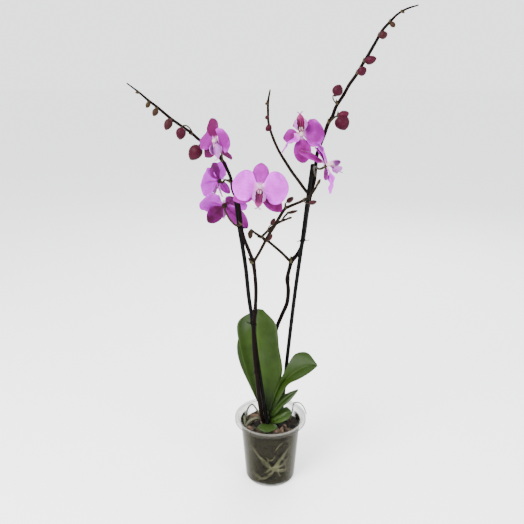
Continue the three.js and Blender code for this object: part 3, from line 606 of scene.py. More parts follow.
potShape = {
    "height": 116.5,
    "rimRadius": 62.5,
    "rimDepth": 6,
    "neckRadius": 52.4,
    "baseRadius": 43.6,
    "wall": 1.3,
    "facets": 160,
    "drains": 6,
    "drainRadius": 3.5,
    "drainRing": 28,
    "foot": 3.2,
    "tint": (0.026, 0.025, 0.017, 1),
    "rimTint": (0.040, 0.038, 0.033, 1),
    # the next colour is a painted highlight for the upward-facing top of the rolled rim
    "lipTint": (0.20, 0.195, 0.17, 1),
    "milky": (-4, 1),
    "wallAlpha": 0.14,
    "rimAlpha": 0.2,
}
potNeck = potShape["height"] - potShape["rimDepth"]


def wallRadius(z):
    share = z / potNeck
    return potShape["baseRadius"] * (1 - share) + potShape["neckRadius"] * share


def makePotMaterial():
    material, tree, shader, spot = newMaterial("clearPlastic", 0.04)
    height = splitVector(tree, spot)[2]
    start, end = [(potNeck + shift) * mm for shift in potShape["milky"]]
    milky = height.step(start, end)
    upward = splitVector(tree, addNode(tree, "ShaderNodeNewGeometry").outputs["Normal"])[2]
    # painted highlight: where the rolled rim faces upwards it is painted paler, and made a little more opaque,
    # as if lit from above
    lit = upward.step(0.85, 0.98) * milky
    tinted = mixColours(tree, milky, potShape["tint"], potShape["rimTint"])
    tinted = mixColours(tree, lit, tinted, potShape["lipTint"])
    tree.links.new(tinted, shader.inputs["Base Color"])
    film = noise(tree, stretched(tree, spot, (1, 1, 0.35)), 55.0, 5.0, 0.65)
    graze = Field(tree, addNode(tree, "ShaderNodeLayerWeight", {"Blend": 0.35}).outputs["Facing"])
    clear = potShape["wallAlpha"] + (film - 0.5) * 0.3 + graze.step(0.22, 0.5) * 0.9
    rolled = potShape["rimAlpha"] + (film - 0.5) * 0.2 + graze ** 2 * 1.3 + lit * 0.12
    alpha = clear * (1 - milky) + milky * rolled
    tree.links.new(alpha.between(0, 1).socket, shader.inputs["Alpha"])
    tree.links.new((0.1 + film * 0.2).socket, shader.inputs["Roughness"])
    return material


def makePot():
    size = potShape
    top, rim, wall, foot, base = [size[key] for key in ("height", "rimRadius", "wall", "foot", "baseRadius")]
    neck = potNeck
    outside = wallRadius(foot)
    inside = wallRadius(neck) - wall
    profile = [(0, 0), (20, 0), (base - 3, 0)]
    profile += bend((base - 2.4, 0), (base + 0.1, 0), (outside, foot))
    profile += [(wallRadius(z), z) for z in (20, 40, 60, 80, 100)]
    shoulder = (size["neckRadius"] + 0.2, neck + 1.4)
    profile += bend((wallRadius(neck - 1), neck - 1), shoulder, (55.6, neck + 1.9))
    profile += bend((rim - 4.2, neck + 2.8), (rim - 1.5, neck + 3.2), (rim - wall, neck + 0.9))
    profile += bend((rim - wall, neck + 0.4), (rim - wall / 2, neck - 0.1), (rim, neck + 0.5), 4)
    profile += bend((rim, top - 2.2), (rim, top), (rim - 2.2, top))
    profile += bend((rim - 3.8, top), (rim - 5, top), (rim - 6, top - 0.9))
    profile += bend((inside + 1.7, neck + 2.6), (inside, neck + 1.6), (inside, neck - 0.5))
    profile += [(wallRadius(z) - wall, z) for z in (100, 80, 60, 40, 20)]
    profile += bend((outside - wall, foot + 1), (outside - wall - 0.2, wall), (base - 4, wall))
    profile += [(20, wall), (0, wall)]
    pot = turnedObject("pot", profile, size["facets"], makePotMaterial())
    drill = bmesh.new()
    for i in range(size["drains"]):
        angle = 2 * math.pi * (i + 0.5) / size["drains"]
        spot = Vector((size["drainRing"] * math.cos(angle), size["drainRing"] * math.sin(angle), 0))
        radius = size["drainRadius"] * mm
        values = {"radius1": radius, "radius2": radius, "depth": 6 * wall * mm, "segments": 24}
        bmesh.ops.create_cone(drill, cap_ends=True, matrix=Matrix.Translation(spot * mm), **values)
    mesh = bpy.data.meshes.new("drains")
    drill.to_mesh(mesh)
    drill.free()
    cutter = linkObject("drains", mesh)
    boolean = pot.modifiers.new("drains", "BOOLEAN")
    boolean.object = cutter
    drilled = plainMesh(pot)
    pot.modifiers.clear()
    pot.data = drilled
    bpy.data.objects.remove(cutter)
    handOver(pot, "pot")


makePot()
print("the pot is turned and drilled")


# bark: a dark core, chips on top and chips pressed against the wall

barkShape = {
    "top": 99,
    "mound": 2.5,
    "rootTop": 84,
    "ringGap": 3.6,
    "wallInset": 3.3,
    "wallHeights": (92, 70, 50, 30, 8),
    "topChips": {"spacing": 6.2, "sizes": (0.7, 1.55), "tilt": 0.8, "palest": 1.0},
    "wallChips": {"spacing": 8.0, "sizes": (0.6, 1.1), "tilt": 0.15, "palest": 0.6},
    "chip": (15, 9, 4.6),
    "chipPoints": 16,
    "chipEdge": 0.35,
    "kinds": 6,
    "seed": 11,
    "core": (0.005, 0.0045, 0.003, 1),
    "coreLight": (0.030, 0.029, 0.018, 1),
    "tones": [
        (0.0, (0.002, 0.0014, 0.001, 1)),
        (0.4, (0.006, 0.0042, 0.0028, 1)),
        (0.68, (0.018, 0.011, 0.007, 1)),
        (0.88, (0.060, 0.036, 0.022, 1)),
        (1.0, (0.125, 0.085, 0.056, 1)),
    ],
}


def makeBarkMaterial():
    material, tree, shader, spot = newMaterial("barkChips", 0.2, Roughness=0.9)
    shade = attribute(tree, "tone") + (noise(tree, spot, 130.0, 5.0, 0.7) - 0.5) * 0.75
    ramp = addNode(tree, "ShaderNodeValToRGB")
    stops = ramp.color_ramp.elements
    for stop in range(len(barkShape["tones"]) - 2):
        stops.new(0.5)
    for stop, (level, colour) in zip(stops, barkShape["tones"]):
        stop.position = level
        stop.color = colour
    tree.links.new(shade.socket, ramp.inputs[0])
    fibre = stretched(tree, spot, (1, 1, 3))
    paint(tree, shader, ramp.outputs[0], Vector=fibre, Scale=420.0, Strength=0.8, Distance=0.0012)
    return material


def makeCoreMaterial():
    colours = barkShape["core"], barkShape["coreLight"]
    bumps = {"Scale": 260.0, "Strength": 1.0, "Distance": 0.002}
    return mottledMaterial("darkFill", 0.2, {"Roughness": 0.95}, colours, 75.0, 3.0, **bumps)


def makeChipTree():
    # irregular chips, picked at random, over the faces of a surface
    sockets = {label: "float" for label in ("Spacing", "Smallest", "Largest", "Tilt", "Palest")}
    sockets.update({"Seed": "int", "Chips": "collection", "Material": "material"})
    tree, given, end = geometryTree("chipsOverSurface", sockets)
    inputs = {"Mesh": given["Geometry"], "Density Max": 60000.0}
    inputs.update({"Distance Min": given["Spacing"], "Seed": given["Seed"]})
    spread = addNode(tree, "GeometryNodeDistributePointsOnFaces", distribute_method="POISSON")
    for label, value in inputs.items():
        feed(tree, spread.inputs[label], value)

    def chance(kind, low, high, shift):
        node = addNode(tree, "FunctionNodeRandomValue", data_type=kind)
        slots = {"FLOAT_VECTOR": (0, 1, 0), "FLOAT": (2, 3, 1)}[kind]
        feed(tree, node.inputs[slots[0]], low)
        feed(tree, node.inputs[slots[1]], high)
        feed(tree, node.inputs["Seed"], given["Seed"] + shift)
        return node.outputs[slots[2]]

    tone = chance("FLOAT", 0.0, given["Palest"], 3)
    toned = nameAttribute(tree, spread.outputs["Points"], "tone", "FLOAT", "POINT", tone)
    tilt = joinVector(tree, given["Tilt"], given["Tilt"], math.pi)
    back = joinVector(tree, given["Tilt"] * -1, given["Tilt"] * -1, -math.pi)
    spin = addNode(tree, "FunctionNodeEulerToRotation", {"Euler": chance("FLOAT_VECTOR", back, tilt, 5)})
    turn = addNode(tree, "FunctionNodeRotateRotation", rotation_space="LOCAL")
    tree.links.new(spread.outputs["Rotation"], turn.inputs[0])
    tree.links.new(spin.outputs[0], turn.inputs[1])
    chips = addNode(tree, "GeometryNodeCollectionInfo", {"Separate Children": True, "Reset Children": True})
    tree.links.new(given["Chips"].socket, chips.inputs["Collection"])
    inputs = {"Points": toned, "Instance": chips.outputs[0], "Pick Instance": True}
    inputs["Rotation"] = turn.outputs[0]
    inputs["Scale"] = chance("FLOAT", given["Smallest"], given["Largest"], 7)
    copies = addNode(tree, "GeometryNodeInstanceOnPoints", inputs)
    finishTree(tree, end, copies.outputs[0], given["Material"], smooth=False)
    return tree


def chipKinds():
    # a few broken chips: hulls round random points in a flat block, with their edges blunted
    draw = random.Random(barkShape["seed"])
    collection = bpy.data.collections.new("chipKinds")
    for kind in range(barkShape["kinds"]):
        shape = bmesh.new()
        for i in range(barkShape["chipPoints"]):
            spot = [side * draw.uniform(-0.5, 0.5) * mm for side in barkShape["chip"]]
            shape.verts.new(spot)
        hull = bmesh.ops.convex_hull(shape, input=shape.verts)
        loose = [v for v in hull["geom_interior"] + hull["geom_unused"] if isinstance(v, bmesh.types.BMVert)]
        bmesh.ops.delete(shape, geom=list(set(loose)), context="VERTS")
        values = {"segments": 1, "affect": "EDGES", "clamp_overlap": True}
        bmesh.ops.bevel(shape, geom=shape.edges[:], offset=barkShape["chipEdge"] * mm, **values)
        bmesh.ops.recalc_face_normals(shape, faces=shape.faces)
        mesh = bpy.data.meshes.new(f"chip{kind}")
        shape.to_mesh(mesh)
        shape.free()
        collection.objects.link(bpy.data.objects.new(f"chip{kind}", mesh))
    return collection


def makeBark():
    size = barkShape
    gap = size["ringGap"]

    def inner(z):
        return wallRadius(z) - potShape["wall"] - 0.6

    profile = [(0, 1.8), (30, 1.8), (potShape["baseRadius"] - 4.6, 1.8), (inner(5), 4.8), (inner(9) - gap, 9)]
    profile += [(inner(z) - gap, z) for z in (25, 40, 55, 70, size["rootTop"])]
    profile += [(inner(90), 90), (inner(98), 98), (inner(99) - 1, size["top"])]
    profile += [(30, size["top"] + 1.2), (0, size["top"] + size["mound"])]
    core = turnedObject("barkCore", profile, 96, makeCoreMaterial())
    chips = makeChipTree()
    kinds = chipKinds()
    bark = makeBarkMaterial()
    pieces = [core]
    surfaces = {
        "topChips": [(0, size["top"] + size["mound"]), (20, size["top"] + 2), (39, size["top"] + 0.5)],
        "wallChips": [(inner(z) - size["wallInset"], z) for z in size["wallHeights"]],
    }
    for name, stations in surfaces.items():
        look = size[name]
        values = {"Spacing": look["spacing"] * mm, "Tilt": look["tilt"], "Palest": look["palest"]}
        values["Smallest"], values["Largest"] = look["sizes"]
        values.update({"Seed": size["seed"], "Chips": kinds, "Material": bark})
        ground = turnedObject(name, stations[::-1], 96, bark)
        pieces.append(grow(ground, chips, values, name))
    whole = joinPieces("barkFill", pieces)
    for chip in list(kinds.objects):
        bpy.data.objects.remove(chip)
    bpy.data.collections.remove(kinds)
    handOver(whole, "bark")


makeBark()
print("the bark is filled in")


# crown and roots

rootShape = {
    "crownCentre": (-7, 0),
    "crown": [(0, 84), (6, 85), (8, 94), (8, 112), (6.5, 121), (3.5, 125), (0, 126)],
    "aerial": [  # x, y, z, radius
        [[-8, -1, 108, 2.4], [-21, -8, 116, 2.3], [-32, -11, 115, 2.2], [-41, -14, 108, 2],
            [-43, -14, 98, 2]],
        [[-9, 1, 95, 2], [-27, 8, 94, 2], [-41, 12, 100, 2], [-46, 4, 111, 2.1], [-45, -6, 110, 2.1],
            [-43, -8, 97, 2]],
        [[-9, 2, 104, 1.6], [-22, 20, 112, 1.5], [-33, 30, 120, 1.4], [-41, 23, 114, 1.4],
            [-42, 14, 98, 1.4]],
        [[-4, 1, 96, 1.4], [18, 6, 93, 1.3], [34, 14, 97, 1.2], [40, 20, 114, 1.1], [43, 23, 127, 1.1],
            [53, 23, 127, 1], [60, 19, 121, 1], [64.6, 10, 112, 0.8]],
    ],
    "wall": [  # angle and height on the inside of the pot
        [[-150, 82], [-128, 70], [-105, 50], [-82, 34], [-50, 26], [-20, 18]],
        [[-35, 82], [-55, 66], [-72, 48], [-83, 33], [-98, 18], [-122, 9]],
        [[-12, 78], [-30, 60], [-56, 44], [-80, 35]],
        [[-170, 78], [-178, 60], [-160, 38], [-138, 20], [-112, 12]],
        [[75, 82], [68, 60], [85, 42], [110, 24], [140, 14]],
        [[125, 82], [108, 66], [130, 46], [160, 30], [186, 16]],
        [[10, 80], [4, 58], [14, 36], [32, 18]],
    ],
    "star": {"angle": -84, "height": 38, "arms": 12, "reach": (12, 30), "radius": 0.9},
    "curls": {"count": 34, "reach": (10, 26), "radius": 0.7, "heights": (14, 84)},
    "curlSeed": 5,
    "rootlet": {"stations": 5, "clear": 0.4, "taper": 0.12, "wander": 0.6, "lowest": 7, "highest": 92},
    "wallRadius": 2.1,
    "wallStart": [-7, 0, 90],
    "clearance": 0.7,
    "sides": 12,
    "knobbly": 0.5,
    "pale": (0.34, 0.34, 0.19, 1),
    "green": (0.085, 0.092, 0.040, 1),
    "dry": (0.016, 0.019, 0.013, 1),
    "tones": (0.15, 0.15, 0.4, 1.0),
}


def makeRootMaterial():
    material, tree, shader, spot = newMaterial("velamen", 0.15, Roughness=0.62)
    blotch = mottled(tree, spot, 60.0, 2.4, rootShape["green"], rootShape["pale"])
    toned = mixColours(tree, attribute(tree, "tone"), rootShape["dry"], blotch)
    paint(tree, shader, toned, Vector=spot, Scale=700.0, Strength=0.35, Distance=0.0004)
    return material


def wallRoute(route):
    size = rootShape
    radius = size["wallRadius"]
    stations = []
    steps = 4 * (len(route) - 1)
    for i in range(steps + 1):
        angle, z, rest = curvePoint([(a, h, 0) for a, h in route], i / steps)
        reach = wallRadius(z) - potShape["wall"] - size["clearance"] - radius
        angle = math.radians(angle)
        stations.append([reach * math.cos(angle), reach * math.sin(angle), z, radius])
    x, y, z, radius = stations[0]
    return [size["wallStart"] + [radius], [0.84 * x, 0.84 * y, z + 1.5, radius]] + stations


def rootlet(angle, height, heading, reach, radius, draw):
    # a thin root that wanders over the inside of the wall
    size = rootShape["rootlet"]
    stride = reach / (size["stations"] - 1)
    stations = []
    for step in range(size["stations"]):
        inside = wallRadius(height) - potShape["wall"] - size["clear"] - radius
        turn = math.radians(angle)
        thin = radius * (1 - size["taper"] * step)
        stations.append([inside * math.cos(turn), inside * math.sin(turn), height, thin])
        heading += draw.uniform(-size["wander"], size["wander"])
        angle += math.degrees(stride * math.cos(heading) / inside)
        height = min(max(height + stride * math.sin(heading), size["lowest"]), size["highest"])
    return stations


def makeRootlets(material, look):
    draw = random.Random(rootShape["curlSeed"])
    star, curls = rootShape["star"], rootShape["curls"]
    paths = []
    for arm in range(star["arms"]):
        heading = 2 * math.pi * (arm + draw.uniform(-0.3, 0.3)) / star["arms"]
        reach = draw.uniform(*star["reach"])
        paths.append(rootlet(star["angle"], star["height"], heading, reach, star["radius"], draw))
    for i in range(curls["count"]):
        angle, height = draw.uniform(0, 360), draw.uniform(*curls["heights"])
        heading, reach = draw.uniform(0, 2 * math.pi), draw.uniform(*curls["reach"])
        paths.append(rootlet(angle, height, heading, reach, curls["radius"], draw))
    return tubes("rootlets", paths, material, perSpan=4, **{**look, "sides": 8})


def makeRoots():
    size = rootShape
    material = makeRootMaterial()
    crown = turnedObject("crown", size["crown"], 40, material, size["crownCentre"])
    look = {"sides": size["sides"], "bump": size["knobbly"], "bumpScale": 160}
    aerial = tubes("aerialRoots", size["aerial"], material, perSpan=8, **look)
    onWall = tubes("wallRoots", [wallRoute(route) for route in size["wall"]], material, perSpan=3, **look)
    rootlets = makeRootlets(material, look)
    pieces = [crown, aerial, onWall, rootlets]
    for piece, tone in zip(pieces, size["tones"]):
        setTone(piece, tone)
    handOver(joinPieces("crownAndRoots", pieces), "crown_roots")


makeRoots()
print("the crown and the roots are in the pot")


# leaves: the rib and both edges from base to tip

leafShapes = {
    "thickness": 2.2,
    "rows": 56,
    "columns": 22,
    "groove": 1.1,
    "wave": 0.8,
    "face": (0.0075, 0.018, 0.0015, 1),
    "faceLight": (0.030, 0.062, 0.006, 1),
    "back": (0.016, 0.031, 0.006, 1),
    "rib": (0.034, 0.060, 0.009, 1),
    # the base colour is the sheath's own darker colour and painted shade where the leaves crowd into the crown
    "base": (0.0025, 0.0055, 0.001, 1),
    # each leaf's tone is painted shade: a lower tone paints a leaf darker where it lies in shade
    "leaf_tall": {"bulge": -2, "tone": 0.6,
        "rib": [[-7, 1, 121], [-11, 4, 158], [-17, 7, 200], [-21, 8, 242], [-22, 9, 284], [-20, 8, 315]],
        "left": [[-15, -2, 122], [-30, -3, 165], [-44, -7, 214], [-53.5, -8, 258], [-54.5, -5, 298],
            [-25, 7, 315]],
        "right": [[-3, -1, 122], [6, -5, 160], [20, -8, 205], [14, -8, 252], [8, -5, 294], [-12, 6, 314]]},
    "leaf_behind": {"bulge": 2, "tone": 0.2,
        "rib": [[-10, 5, 120], [-20, 11, 160], [-34, 15, 205], [-43, 18, 250], [-46, 19, 284]],
        "left": [[-15, 4, 122], [-36, 10, 168], [-54, 13, 213], [-58, 14, 245], [-48, 18, 284]],
        "right": [[-7, 9, 121], [-11, 17, 162], [-18, 22, 205], [-28, 24, 250], [-43, 20, 284]]},
    "leaf_right": {"bulge": 1.5, "tone": 0.3,
        "rib": [[-1, -6, 119], [6, -11, 150], [13, -13, 172], [24, -12, 192], [41, -12, 207],
            [59, -15, 219], [78, -22, 225]],
        "left": [[-3, -3, 120], [3, -13, 156], [12, -15, 184], [24, -9, 208], [42, 5, 234], [62, 2, 238],
            [78, -19, 226.5]],
        "right": [[2, -8, 119], [12, -19, 152], [20, -24, 173], [30, -31, 195], [48, -38, 209],
            [65, -34, 219], [77, -25, 225]]},
    "leaf_narrow": {"bulge": 1, "tone": 0.3,
        "rib": [[1, -3, 112], [6, -15, 130], [15, -19, 148], [28, -19, 161], [47, -16, 176]],
        "left": [[-1, -5, 116], [6, -11, 138], [17, -12, 160], [31, -13, 170], [47, -15, 177]],
        "right": [[3, -7, 112], [9, -20, 131], [20, -26, 148], [33, -25, 160], [47, -17, 175]]},
    "leaf_round": {"bulge": 1, "tone": 0.5,
        "rib": [[-1, -7, 106], [8, -18, 116], [18, -20, 124], [28, -19, 130], [36, -15, 133]],
        "left": [[-1, -4, 110], [7, -11, 121], [17, -8, 132], [28, -7, 138], [36, -13, 134]],
        "right": [[1, -10, 107], [9, -24, 115], [20, -29, 121], [31, -27, 126], [37, -17, 132]]},
    "leaf_front": {"bulge": -1, "tone": 0.05,
        "rib": [[-6, -7, 103], [-6, -16, 106], [-6, -25, 106.5], [-7, -34, 103.5]],
        "left": [[-8, -7, 103], [-21, -17, 107.5], [-22, -26, 106], [-9, -34, 103]],
        "right": [[-4, -7, 103], [10, -17, 107], [12, -26, 107], [-4, -34, 103]]},
}


def makeLeafMaterial():
    material, tree, shader, spot = newMaterial("leafBlade", 0.1, Roughness=0.45, CoatRoughness=0.3)
    uv, across, along = bladeSpots(tree)
    blotch = mottled(tree, spot, 28.0, 1.6, leafShapes["face"], leafShapes["faceLight"])
    lines = effect(tree, veins, UV=uv, Place=spot, Count=34.0, Wobble=0.01, Thinness=3.0)
    mask = Field(tree, lines["Mask"])
    lined = mixColours(tree, mask * 0.25, blotch, leafShapes["rib"])
    # painted shade: a low tone pulls the whole leaf towards the dark face colour
    toned = mixColours(tree, attribute(tree, "tone"), leafShapes["face"], lined)
    middle = 1 - (across - 0.5).size().step(0.006, 0.03)
    ribbed = mixColours(tree, middle * (1 - along * 0.6) * 0.8, toned, leafShapes["rib"])
    # darker towards the base: the sheath's own colour and painted shade between the crowded leaf bases; a tone
    # under 0.16 paints the whole leaf darker as painted shade
    low = ((1 - along.step(0.04, 0.34)) * 0.85).math("MAXIMUM", 0.8 - attribute(tree, "tone") * 5)
    based = mixColours(tree, low, ribbed, leafShapes["base"])
    sided = mixColours(tree, attribute(tree, "Front"), leafShapes["back"], based)
    waxy = noise(tree, spot, 16.0, 2.0).step(0.45, 0.65) * along.step(0.4, 0.8) * attribute(tree, "tone")
    tree.links.new((waxy * 0.7).socket, shader.inputs["Coat Weight"])
    bumps = {"Scale": 160.0, "Strength": 0.25, "Distance": 0.0006, "Height": mask * 0.35}
    paint(tree, shader, sided, Vector=spot, **bumps)
    return material


def makeLeaf(name, leaf, material):
    def place(s, t):
        middle, left, right = [curvePoint(leaf[line], s) for line in ("rib", "left", "right")]
        along = curvePoint(leaf["rib"], min(s + 0.01, 1)) - curvePoint(leaf["rib"], max(s - 0.01, 0))
        normal = (right - left).cross(along).normalized()
        side = abs(t)
        lift = leaf["bulge"] * 4 * side * (1 - side) - leafShapes["groove"] * math.exp(-((t / 0.12) ** 2))
        lift += leafShapes["wave"] * side**3 * math.sin(9 * s + 2 * t) * math.sin(math.pi * s)
        return middle.lerp(left if t < 0 else right, side) + normal * lift

    def thickness(s, t):
        return leafShapes["thickness"] * (1 - 0.5 * t * t) * (1 - 0.3 * s) * (1 - abs(t) ** 10) ** 0.5

    piece = sheetObject(name, leafShapes["rows"], leafShapes["columns"], place, thickness, material)
    setTone(piece, leaf["tone"])
    handOver(piece, name)


def makeLeaves():
    material = makeLeafMaterial()
    for name, leaf in leafShapes.items():
        if isinstance(leaf, dict):
            makeLeaf(name, leaf, material)


makeLeaves()
print("the leaves are out")


# stakes: coated wire, x, y, z

stakeShapes = {
    "radius": 3.3,
    "tip": 0.55,
    "shoulder": 0.5,
    "sides": 20,
    "coat": (0.0012, 0.0012, 0.0012, 1),
    "scuff": (0.004, 0.004, 0.004, 1),
    "stake_left": [[6, -8, 8], [-4.4, -12, 100], [-10.5, -14, 145], [-18, -16.5, 200], [-24.5, -19, 250],
        [-30, -21.8, 303], [-36, -25, 350], [-40.5, -27.5, 400], [-45.3, -30, 437], [-49.8, -31, 468],
        [-53, -32, 500], [-54.5, -32.5, 514]],
    "stake_right": [[11.5, 22, 8], [21.8, 16, 133], [30.3, 11, 240], [40.4, 5.5, 350], [50.1, -1, 440],
        [55.2, -4.7, 493], [61.7, -8.4, 552], [62.6, -8.8, 560]],
}


def makeCoatMaterial(name, roughness):
    colours = stakeShapes["coat"], stakeShapes["scuff"]
    sockets = {"Roughness": roughness}
    return mottledMaterial(name, 0.02, sockets, colours, 90.0, 3.0, Scale=500.0, Strength=0.15)


def makeStakes():
    material = makeCoatMaterial("coatedWire", 0.38)
    radius = stakeShapes["radius"]
    for name, route in stakeShapes.items():
        if not name.startswith("stake_"):
            continue
        stations = [spot + [radius] for spot in route]
        for end, inner in ((0, 1), (-1, -2)):
            last = Vector(stations[end][:3])
            towards = (Vector(stations[inner][:3]) - last).normalized()
            shoulder = list(last + towards * stakeShapes["shoulder"] * radius) + [radius]
            stations[end] = [*last, stakeShapes["tip"] * radius]
            stations.insert(1 if end == 0 else -1, shoulder)
        handOver(tubes(name, [stations], material, sides=stakeShapes["sides"]), name)


makeStakes()
print("the stakes stand")


# ties: two turns of wire round a stake and a stem, with twisted tails

tieShapes = {
    "wire": 0.75,
    "clear": 0.35,
    "turns": 2,
    "steps": 24,
    "twist": 0.5,
    "tailSteps": 12,
    "tailHalfTurns": 5,
    "tie_left_upper": {"height": 467, "stake": (-49.7, -31), "stem": (-46.4, -37.2), "radius": 2.9,
        "ends": [[[-42.8, -34.8, 467, 0.7], [-39.6, -35.4, 467.5, 0.6], [-36.6, -36, 466, 0.5]]]},
    "tie_left_lower": {"height": 303.5, "stake": (-30, -21.8), "stem": (-28, -28.8), "radius": 3.4,
        "ends": [[[-33.8, -25.4, 303.6, 0.7], [-37, -28, 306, 0.6], [-39.5, -29, 308, 0.5]]]},
    "tie_right": {"height": 436, "stake": (49.6, -0.7), "stem": (51.7, 8.3), "radius": 3,
        "ends": [[[54.3, 2, 436, 0.7], [57.6, 0, 436.5, 0.6], [61, -1, 438, 0.5]],
            [[46.3, 2, 436, 0.7], [43.4, 0, 435.5, 0.6], [41, -1, 434.5, 0.5]]]},
}


def makeTie(name, tie, material):
    size = tieShapes
    stake, stem = Vector(tie["stake"]), Vector(tie["stem"])
    apart = (stem - stake).normalized()
    across = Vector((apart.y, -apart.x))
    loop = []
    count = size["turns"] * size["steps"]
    for i in range(count + 1):
        angle = 2 * math.pi * (i + 0.5) / size["steps"]
        centre, inner = (stem, tie["radius"]) if math.sin(angle) > 0 else (stake, stakeShapes["radius"])
        reach = inner + size["clear"] + 0.6 * size["wire"]
        x, y = centre + (across * math.cos(angle) + apart * math.sin(angle)) * reach
        loop.append([x, y, tie["height"] + 1.1 * size["wire"] * (2 * i / count - 1), 0.6 * size["wire"]])
    strands = [loop]
    for end in tie["ends"]:
        for phase in (0, math.pi):
            strand = []
            for i in range(size["tailSteps"] + 1):
                x, y, z, radius = curvePoint(end, i / size["tailSteps"])
                turn = phase + size["tailHalfTurns"] * i / size["tailSteps"] * math.pi
                offset = size["twist"] * (1 if i else 0.2)
                strand.append([x, y + offset * math.cos(turn), z + offset * math.sin(turn), 0.6 * radius])
            strands.append(strand)
    handOver(tubes(name, strands, material, sides=8, perSpan=1), name)


def makeTies():
    material = makeCoatMaterial("tieWire", 0.5)
    for name, tie in tieShapes.items():
        if isinstance(tie, dict):
            makeTie(name, tie, material)


makeTies()
print("the ties hold")


# blooms: tepals are grown by one tree, and a bloom's frame looks along +Z with its dorsal sepal at +Y

bloomShapes = {
    "thickness": 0.9,
    "start": 1.5,
    "clawEnd": 0.34,
    "baseHalf": 2.4,
    "petalHeight": 0.3,
    "sepalDepth": 1.4,
    "hubRadius": 4.6,
    "hubHalfDepth": 2.4,
    "hubBack": 4,
    "stalkStraight": 6,
    "clear": 0.35,
    "kinds": {
        "petal": {"Length": 41, "Width": 45, "Belly": 1, "Blunt": 0.5, "Neck": 0.36, "Arch": 4, "Droop": 3,
            "Cup": 2, "Ruffle": 1.5, "Waves": 3.2, "Crease": 0.7},
        "dorsal": {"Length": 40, "Width": 25, "Belly": 1.25, "Blunt": 0.5, "Neck": 0.5, "Arch": 3, "Droop": 3,
            "Cup": 2.5, "Ruffle": 0.6, "Waves": 2.2, "Crease": 0.6},
        "lateral": {"Length": 43, "Width": 24, "Belly": 1.1, "Blunt": 0.6, "Neck": 0.55, "Arch": 2,
            "Droop": 4, "Cup": 2, "Ruffle": 0.6, "Waves": 2.0, "Crease": 0.6},
    },
    "tepals": [("dorsal", 90), ("petal", 10), ("petal", 170), ("lateral", -54), ("lateral", -126)],
    # each kind's Colour and Pale below are the shaded and the lit ends of the painted light and shade on its
    # tepals
    "petalColour": (0.13, 0.004, 0.125, 1),
    "petalPale": (0.60, 0.030, 0.70, 1),
    "petalVein": (0.12, 0.002, 0.12, 1),
    "petalHeart": (0.58, 0.26, 0.54, 1),
    "petalBack": (0.10, 0.007, 0.11, 1),
    "sepalColour": (0.060, 0.001, 0.034, 1),
    "sepalPale": (0.32, 0.012, 0.34, 1),
    "sepalVein": (0.030, 0.0006, 0.018, 1),
    "sepalBack": (0.042, 0.002, 0.024, 1),
    "stalkColour": (0.020, 0.017, 0.006, 1),
    "stalkBlush": (0.014, 0.006, 0.005, 1),
}
blooms = [  # tepals: turn, lean back, twist, share of length and of width, tone as painted light and shade from dark, 0 or less, to pale, 1
    {"centre": (-77, -85, 601.5), "face": (-0.4, -0.88, -0.05), "up": (-0.25, 0, 1), "size": 0.82,
        "tepals": [[11, 10, 0, 1, 0.98, -0.15], [-10, -14, 8, 0.62, 0.95, 0.05], [-4, 7, 35, 0.9, 0.85, -0.1],
            [-29, 25, 22, 1, 0.85, 0.05], [-19, -3, 0, 0.9, 0.95, -0.15]],
        "stalk": [[-72, -46, 569, 1.6], [-72.5, -56, 580, 1.5], [-72, -66, 594, 1.5]]},
    {"centre": (-79.5, -28, 537.5), "face": (-0.7, 0.65, 0.2), "up": (-0.1, 0, 1), "size": 0.85,
        "tepals": [[-27, -7, 0, 1, 0.9, 0.3], [-11, -7, 0, 1, 1.2, 0.9], [-34, -26, 0, 0.95, 0.8, 0.8],
            [23, 45, 0, 0.95, 0.9, 0.9], [-9, -8, 10, 0.95, 0.65, 0.8]],
        "stalk": [[-60.5, -42, 537, 1.6], [-69, -42, 541, 1.5]]},
    {"centre": (-74, 3, 493.4), "face": (-0.1, 0.93, 0.25), "up": (0.1, 0, 1), "size": 0.98,
        "tepals": [[36, 28, 0, 0.9, 0.9, 0.2], [-4, 5, -20, 1, 0.95, 0.7], [-10, 23, 0, 1, 0.6, 0.6],
            [10, 14, 0, 0.87, 1.15, 0.1], [-18, 13, 0, 1.2, 1.1, 0.4]],
        "stalk": [[-45.7, -38.3, 472, 1.7], [-54, -43, 472, 1.6], [-63, -40, 480, 1.6],
            [-70, -30, 490, 1.5]]},
    {"centre": (-18, -72, 534), "face": (0.02, -0.97, 0.2), "up": (0.1, 0, 1), "size": 1,
        "tepals": [[1, 12, 0, 0.96, 0.95, 0.8], [-4, 7, 0, 1.05, 1.06, 0.7], [5, 8, 0, 1, 1, 0.75],
            [13, 8, 0, 1.1, 1, 0.2], [-25, 16, 0, 1.05, 1, 0.5]],
        "stalk": [[-51.6, -39.4, 509, 1.7], [-43, -45, 520, 1.6], [-29, -54, 531, 1.5]]},
    {"centre": (43, -21, 605.5), "face": (-0.05, -0.96, 0.28), "up": (0.08, 0, -1), "size": 1,
        "tepals": [[1, 4, 0, 1.05, 1.05, 0.25], [20, 25, 75, 1, 0.75, 0.6], [10, 3, 0, 0.85, 0.93, 0.1],
            [56, 19, 0, 0.7, 0.9, 0.3], [-43, 8, 0, 0.7, 0.6, 0.5]],
        "stalk": [[76.5, -10.5, 599, 1.7], [66, -9, 603, 1.5], [53, -10, 604, 1.5]]},
    {"centre": (76, -76, 566), "face": (0.85, -0.25, 0.45), "up": (-0.45, -0.66, 0.46), "size": 0.95,
        "tepals": [[-29, 23, -12, 1.2, 0.62, 0.25], [-10, 1, 15, 1, 0.9, 0.5], [35, 9, -26, 1, 0.9, 1],
            [66, 0, 0, 0.8, 0.9, 0.5], [33, 18, 0, 0.7, 0.9, 0.4]],
        "stalk": [[66.5, -4, 540, 1.6], [64, -20, 549, 1.5], [62, -42, 560, 1.5]]},
]


